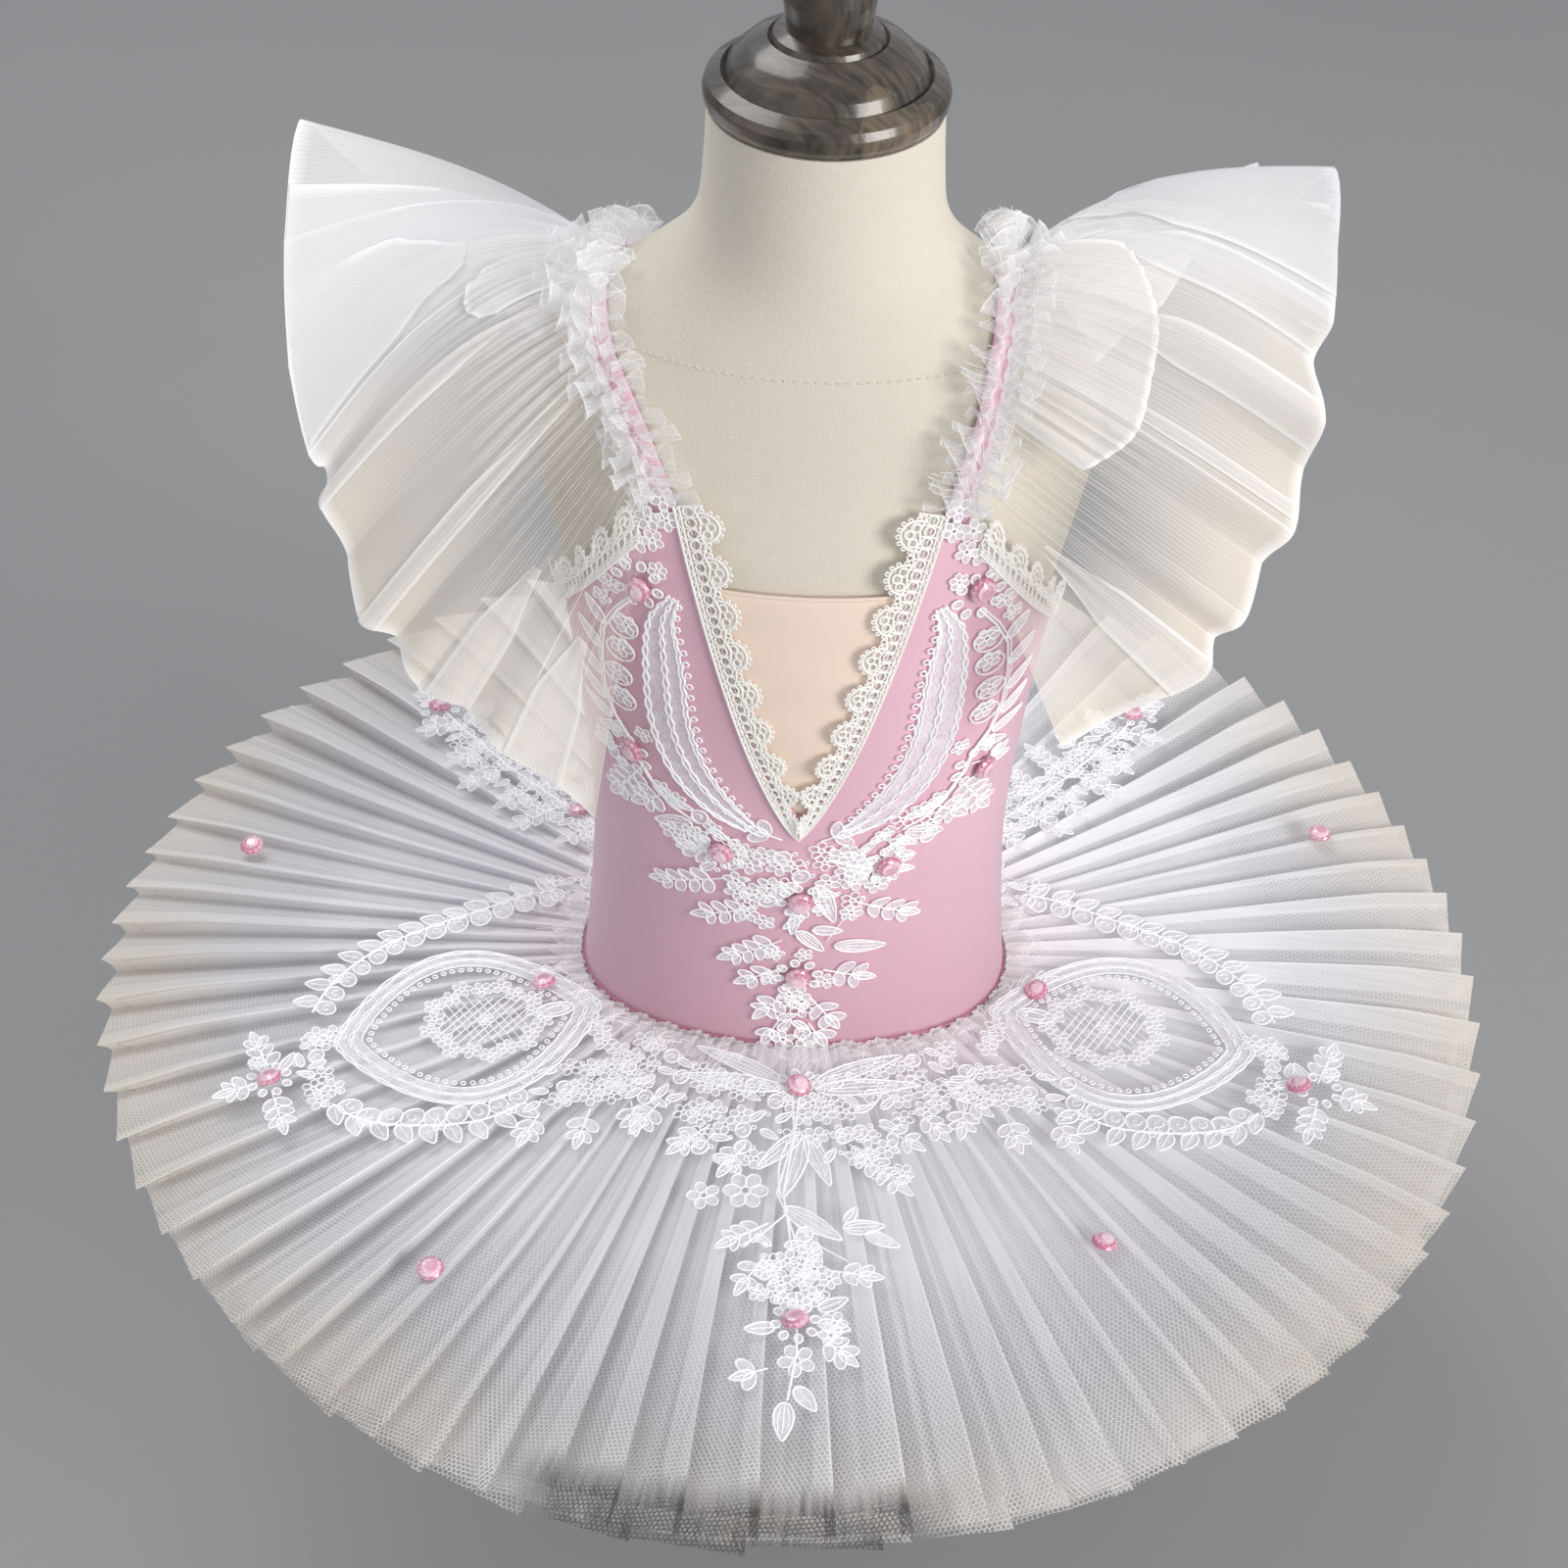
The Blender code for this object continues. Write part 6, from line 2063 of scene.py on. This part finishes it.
for label, (side, _) in SIDES.items():
    oval = Sketch()
    for inset, deep, radius in ((0.03, 0.03, .055), (0.15, -0.03, .045), (0.52, 0.03, .04),
                                (0.62, -0.03, .045), (0.98, 0.02, .04)):
        oval.cord(wavy(oval_line(inset), deep, 1.7), radius, True)
    lines = [oval_line(inset) for inset in (0.10, 0.55, 0.98, 1.24)]
    for first, second in ((0, 1), (1, 2)):
        oval.band(lines[first] + lines[first][:1], lines[second] + lines[second][:1])
    oval.picots(lines[3] + lines[3][:1], 0.40, 0.11)
    for k in range(18):
        way = heading(20 * k)
        reach = 1.05 if k % 2 else 0.93
        oval.flower(WREATH + Vector((2.40 * way.x, 2.10 * way.y)) * reach, 0.88, 5, 31 * k)
    for k in range(-4, 5):
        tall = 1.50 * math.sqrt(1 - (k / 5.0) ** 2)
        for slant in (-1, 1):
            foot = WREATH + Vector((0.40 * k, 0))
            oval.cord([foot + Vector((-tall * 0.7, -tall * slant)),
                       foot + Vector((tall * 0.7, tall * slant))], 0.03)
    oval.flower(WREATH, 0.72, 6)
    oval.petal((9.5, -4.7), -14, 1.7, 0.9, 0.0, True, 0.055)
    oval.petal((9.7, -4.75), -14, 1.1, 0.46, 0.0, False, 0.04)
    oval.sprig((10.2, -2.9), 20, 1.5, 1)
    oval.garland([(11.0, 3.0), (12.6, 2.4), (14.4, 1.4), (16.2, 0.4), (18.0, -0.8),
                  (19.4, -2.2), (20.4, -3.8), (20.9, -5.4)], 1.06, 1)
    oval.garland([(19.2, -10.8), (18.0, -11.6), (16.4, -11.9), (14.6, -11.9),
                  (12.8, -11.6), (11.4, -10.8)], 1.04, 4)
    oval.scatter([(19.9, -6.4), (20.6, -8.2), (19.6, -10.2)], 2, 0.8, 7)
    oval.scatter([(10.9, -10.0), (9.4, -9.6), (7.8, -9.6), (6.4, -9.4)], 3, 0.86, 8)
    oval.scatter([(8.0, -7.2), (8.7, -5.6)], 1, 0.8, 9)
    oval.scatter([(11.3, 3.1), (9.2, 3.0)], 2, 0.8, 10)
    arrange(oval, table(Sprig, (8.3, -11.0, -78, 2.2), (10.4, -11.2, -68, 2.0),
                       (6.6, -10.6, -100, 1.9), (9.6, 3.9, 95, 1.7)))
    stitched("applique_panel_" + label, oval, skirt_place(side))

    outer = arrange(
        Sketch(), table(Sprig, (22.1, -9.1, 62, 2.6), (21.9, -10.1, -112, 2.6),
                       (22.6, -9.7, -28, 1.9)),
        table(Flower, (22.8, -8.6, .7)), table(Leaf, (21.7, -8.9, 112, 1.1, .5)),
        ((22.1, -9.5),))
    stitched("applique_sprig_" + label, outer, skirt_place(side))

    back = arrange(
        Sketch(),
        table(Sprig, (9.3, 7.5, 128, 2.3), (10.8, 8.6, 124, 3.1), (12.4, 9.9, 130, 2.5),
             (13.8, 11.2, 126, 3.0), (15.2, 12.6, 132, 2.3), (16.6, 14.2, 120, 2.4),
             (9.6, 7.6, -40, 2.2), (11.1, 8.8, -34, 2.9), (12.7, 10.0, -42, 2.3),
             (14.1, 11.4, -36, 2.7), (15.5, 12.9, -44, 2.1), (16.9, 14.6, -20, 2.0),
             (17.6, 15.6, 50, 2.4)),
        table(Flower, (9.3, 6.8, .9), (10.3, 7.8, .9), (11.6, 8.9, .9), (13.0, 10.2, .9),
             (14.4, 11.5, .9), (15.8, 12.9, .9), (17.0, 14.4, .9), (9.0, 7.9, .8)),
        (), ((17.9, 15.9),) if side > 0 else ((17.9, 15.7),))
    back.scatter([(9.0, 7.0), (10.8, 8.6), (13.8, 11.2), (16.8, 14.4)], 3, 0.86, 14)
    back.cord([(8.6, 6.6), (10.8, 8.6), (13.8, 11.2), (16.6, 14.2), (18.2, 16.2)], 0.06)
    stitched("applique_back_" + label, back, skirt_place(side))
print("ovals, outer sprigs and back sprays are done")

# %% [markdown]
# The spray on the skirt front is a dense band of small flowers at the waist. From it
# long leaves, sprigs and open flowers narrow to one leaf near the rim, so that it
# points down the middle of the plate.

# %% Skirt spray
front = arrange(
    Sketch(),
    table(Sprig, (-3.2, -11.9, 222, 2.3), (2.6, -12.7, -43, 3.5), (3.8, -11.6, -30, 2.2),
         (-0.6, -16.9, 211, 2.4), (-0.7, -18.5, 240, 2.2), (1.9, -19.1, -6, 2.1),
         (-1.7, -12.9, 238, 2.0), (5.4, -10.6, -48, 2.0), (-5.4, -10.7, 236, 2.0),
         (1.5, -22.2, -40, 2.0), (-0.4, -23.8, 200, 1.5), (6.8, -9.2, -36, 2.2)),
    table(Flower, (-1.6, -15.3, 1.7), (-3.3, -15.6, 1.3), (0.2, -18.7, 1.0),
         (1.1, -18.2, .95), (0.9, -19.4, 1.0), (0.0, -19.8, .95), (1.9, -19.5, .9),
         (0.2, -20.6, .9), (1.2, -20.4, .95), (-0.7, -19.2, .9), (-0.9, -20.3, .8),
         (0.7, -23.4, 1.4)),
    table(Leaf, (0.6, -12.2, 228, 2.7, .8), (0.6, -12.3, 258, 3.4, 1.25),
         (0.8, -12.3, -68, 2.8, .85), (0.0, -16.1, -32, 2.8, .95),
         (2.4, -17.0, 8, 1.7, .8), (3.3, -17.2, -22, 1.5, .7), (2.5, -16.7, 60, .9, .5),
         (-0.2, -21.9, 186, 1.2, .65), (1.5, -21.0, 28, 1.3, .65),
         (1.5, -21.6, -12, 1.3, .65), (0.7, -24.6, -52, 1.3, .75),
         (0.3, -25.3, -92, 1.7, .9), (-0.3, -9.9, 170, 4.4, .95),
         (-0.3, -9.5, 152, 4.2, .85), (1.1, -9.9, 10, 4.4, .95),
         (1.1, -9.5, 28, 4.2, .85)),
    ((0.6, -21.6), (0.4, -9.8)))
front.scatter([(-7.6, -7.8), (-6.0, -9.0), (-3.9, -10.2), (-1.4, -10.9), (0.6, -11.0),
               (3.0, -10.5), (5.2, -9.4), (7.2, -7.9)], 4, 0.86, 11)
front.scatter([(-4.1, -12.4), (-2.4, -13.2), (-1.6, -14.0)], 2, 0.88, 12)
front.scatter([(1.9, -12.8), (3.5, -12.9), (4.2, -13.8)], 2, 0.88, 13)
front.scatter([(0.2, -17.6), (0.6, -19.2), (0.7, -20.6)], 3, 0.86, 15)
front.scatter([(2.0, -21.4), (1.8, -22.4)], 1, 0.86, 16)
for drift in (-0.14, 0.14):
    front.cord([(0.3 + drift, -10.4), (0.3, -12.4), (-0.2 - drift, -15.4), (0.1, -16.4),
                (0.5 + drift, -18.2)], 0.05)
front.cord([(0.1, -16.4), (-0.8, -17.4), (-1.6, -18.0)], 0.045)
front.cord([(0.2, -16.6), (1.4, -17.9), (2.6, -18.6)], 0.045)
front.cord([(0.6, -20.2), (0.7, -23.0), (0.4, -25.2)], 0.05)
stitched("applique_skirt_centre", front, skirt_place(0))
print("skirt spray:", len(front.cords), "cords,", len(front.petals), "petals")

# %% [markdown]
# ## Cut stones
# A stone is round with a flat back. Its facets come from rings of edges, each turned
# by half a step against the one below, so the bands between them break into
# triangles. Each facet takes its own tone, a painted reflection, as mirrored light
# does in a real stone, and the flat top is painted palest.

# %% Stones
GEM_R, GEM_H, GEM_IN, BODICE_SUNK, SKIRT_SUNK = 0.55, 0.30, 0.59, 0.06, 0.04
BODICE_GEMS = {
    "chest_left": (-6.15, 55.2), "chest_right": (6.35, 55.7), "waist_left": (-6.4, 47.0),
    "waist_right": (7.0, 46.2), "spray_left": (-2.95, 43.1), "spray_right": (3.5, 42.5),
    "upper": (0.2, 40.7), "lower": (0.2, 36.2)}
SKIRT_GEMS = {
    "join": (0.4, -9.8, 0.2), "tip": (0.6, -21.6, 0.2), "field_left": (-14.0, -19.4, 0),
    "field_right": (13.0, -16.8, 0), "panel_left": (-11.0, -3.2, 0.2),
    "panel_right": (10.8, -2.5, 0.2), "sprig_left": (-22.1, -9.5, 0.2),
    "sprig_right": (21.9, -7.6, 0.2), "side_left": (-25.4, 5.3, 0),
    "side_right": (24.7, 9.0, 0), "back_left": (-17.9, 15.7, 0.2),
    "back_right": (16.3, 17.2, 0.2), "waist_left": (-10.4, 8.4, 0.2)}
# Rings of a stone, from its back up: radius and height, as shares of the whole
CUT = ((1.0, 0.0), (1.0, 0.25), (0.86, 0.58), (0.62, 0.84), (0.34, 1.0))
FACETS, FACET_DARK, TOP_REFLECTION, FACET_SPREAD = 12, 0.12, 0.70, 0.45


def stone(name, node, middle, normal):
    bm = bmesh.new()
    edges = []
    for n, (radius, height) in enumerate(CUT):
        ring = bmesh.ops.create_circle(bm, segments=FACETS, radius=radius * GEM_R,
                                       cap_ends=n in (0, len(CUT) - 1))["verts"]
        bmesh.ops.rotate(bm, verts=ring, matrix=Matrix.Rotation(
            math.pi / FACETS * max(n - 1, 0), 3, "Z"))
        bmesh.ops.translate(bm, verts=ring, vec=(0, 0, height * GEM_H))
        edges.append([e for e in bm.edges if e.verts[0] in ring and e.verts[1] in ring])
    for low, high in zip(edges, edges[1:]):
        bmesh.ops.bridge_loops(bm, edges=low + high)
    bmesh.ops.triangulate(bm, faces=[f for f in bm.faces if len(f.verts) == 4])
    bmesh.ops.recalc_face_normals(bm, faces=bm.faces)
    tone = bm.faces.layers.float.new("facet_reflection")
    # Painted reflection: each facet's tone stands for mirrored light, palest on the flat
    # top.
    for k, face in enumerate(bm.faces):              # the flat top is the palest facet
        face[tone] = unit(FACET_DARK + TOP_REFLECTION * max(face.normal.z, 0.0) ** 4
                          + FACET_SPREAD * uneven(k, len(name)))
    lean = Vector((0, 0, 1)).rotation_difference(normal).to_matrix()
    bmesh.ops.rotate(bm, verts=bm.verts, matrix=lean @ Matrix.Rotation(
        uneven(len(name), 3), 3, "Z"))
    bmesh.ops.translate(bm, verts=bm.verts, vec=middle)
    bmesh.ops.scale(bm, verts=bm.verts, vec=(CM, CM, CM))
    made = show(name, bm, crystal)
    made.data.shade_flat()
    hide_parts(node)
    return made


stones = []
for label, (x, z) in BODICE_GEMS.items():
    middle = on_form_at(x, z)
    normal = form_normal(middle)
    stones.append(stone("stone_bodice_" + label, "gem_bodice_" + label,
                        middle + normal * (GEM_IN - BODICE_SUNK), normal))
for label, (x, y, raised_by) in SKIRT_GEMS.items():
    lean = Vector((0.22 * uneven(x, 1), 0.22 * uneven(y, 2), 1)).normalized()
    stones.append(stone("stone_skirt_" + label, "gem_skirt_" + label,
                        Vector((x, y, crest_height(x, y) + raised_by - SKIRT_SUNK)), lean))
print("stones:", len(stones))

# %% [markdown]
# ## How the cloth was cut
# The flat size each pleated strip was cut to, worked out as it was built, is read back
# here; nothing further is done with it.
# A pleated strip is straight when it leaves the roll: its length is the length of its
# rim with every fold opened, and it is taken in at the waist, so its area is less than
# length times depth.

# %% Cut sizes
for layer, outer, lining in nets:
    for piece in (outer, lining):
        rim, deep, area = cuts[piece.name]
for piece, strap, hem, area in zip(frills, straps, (4.92, 4.73), (0.0307, 0.0280)):
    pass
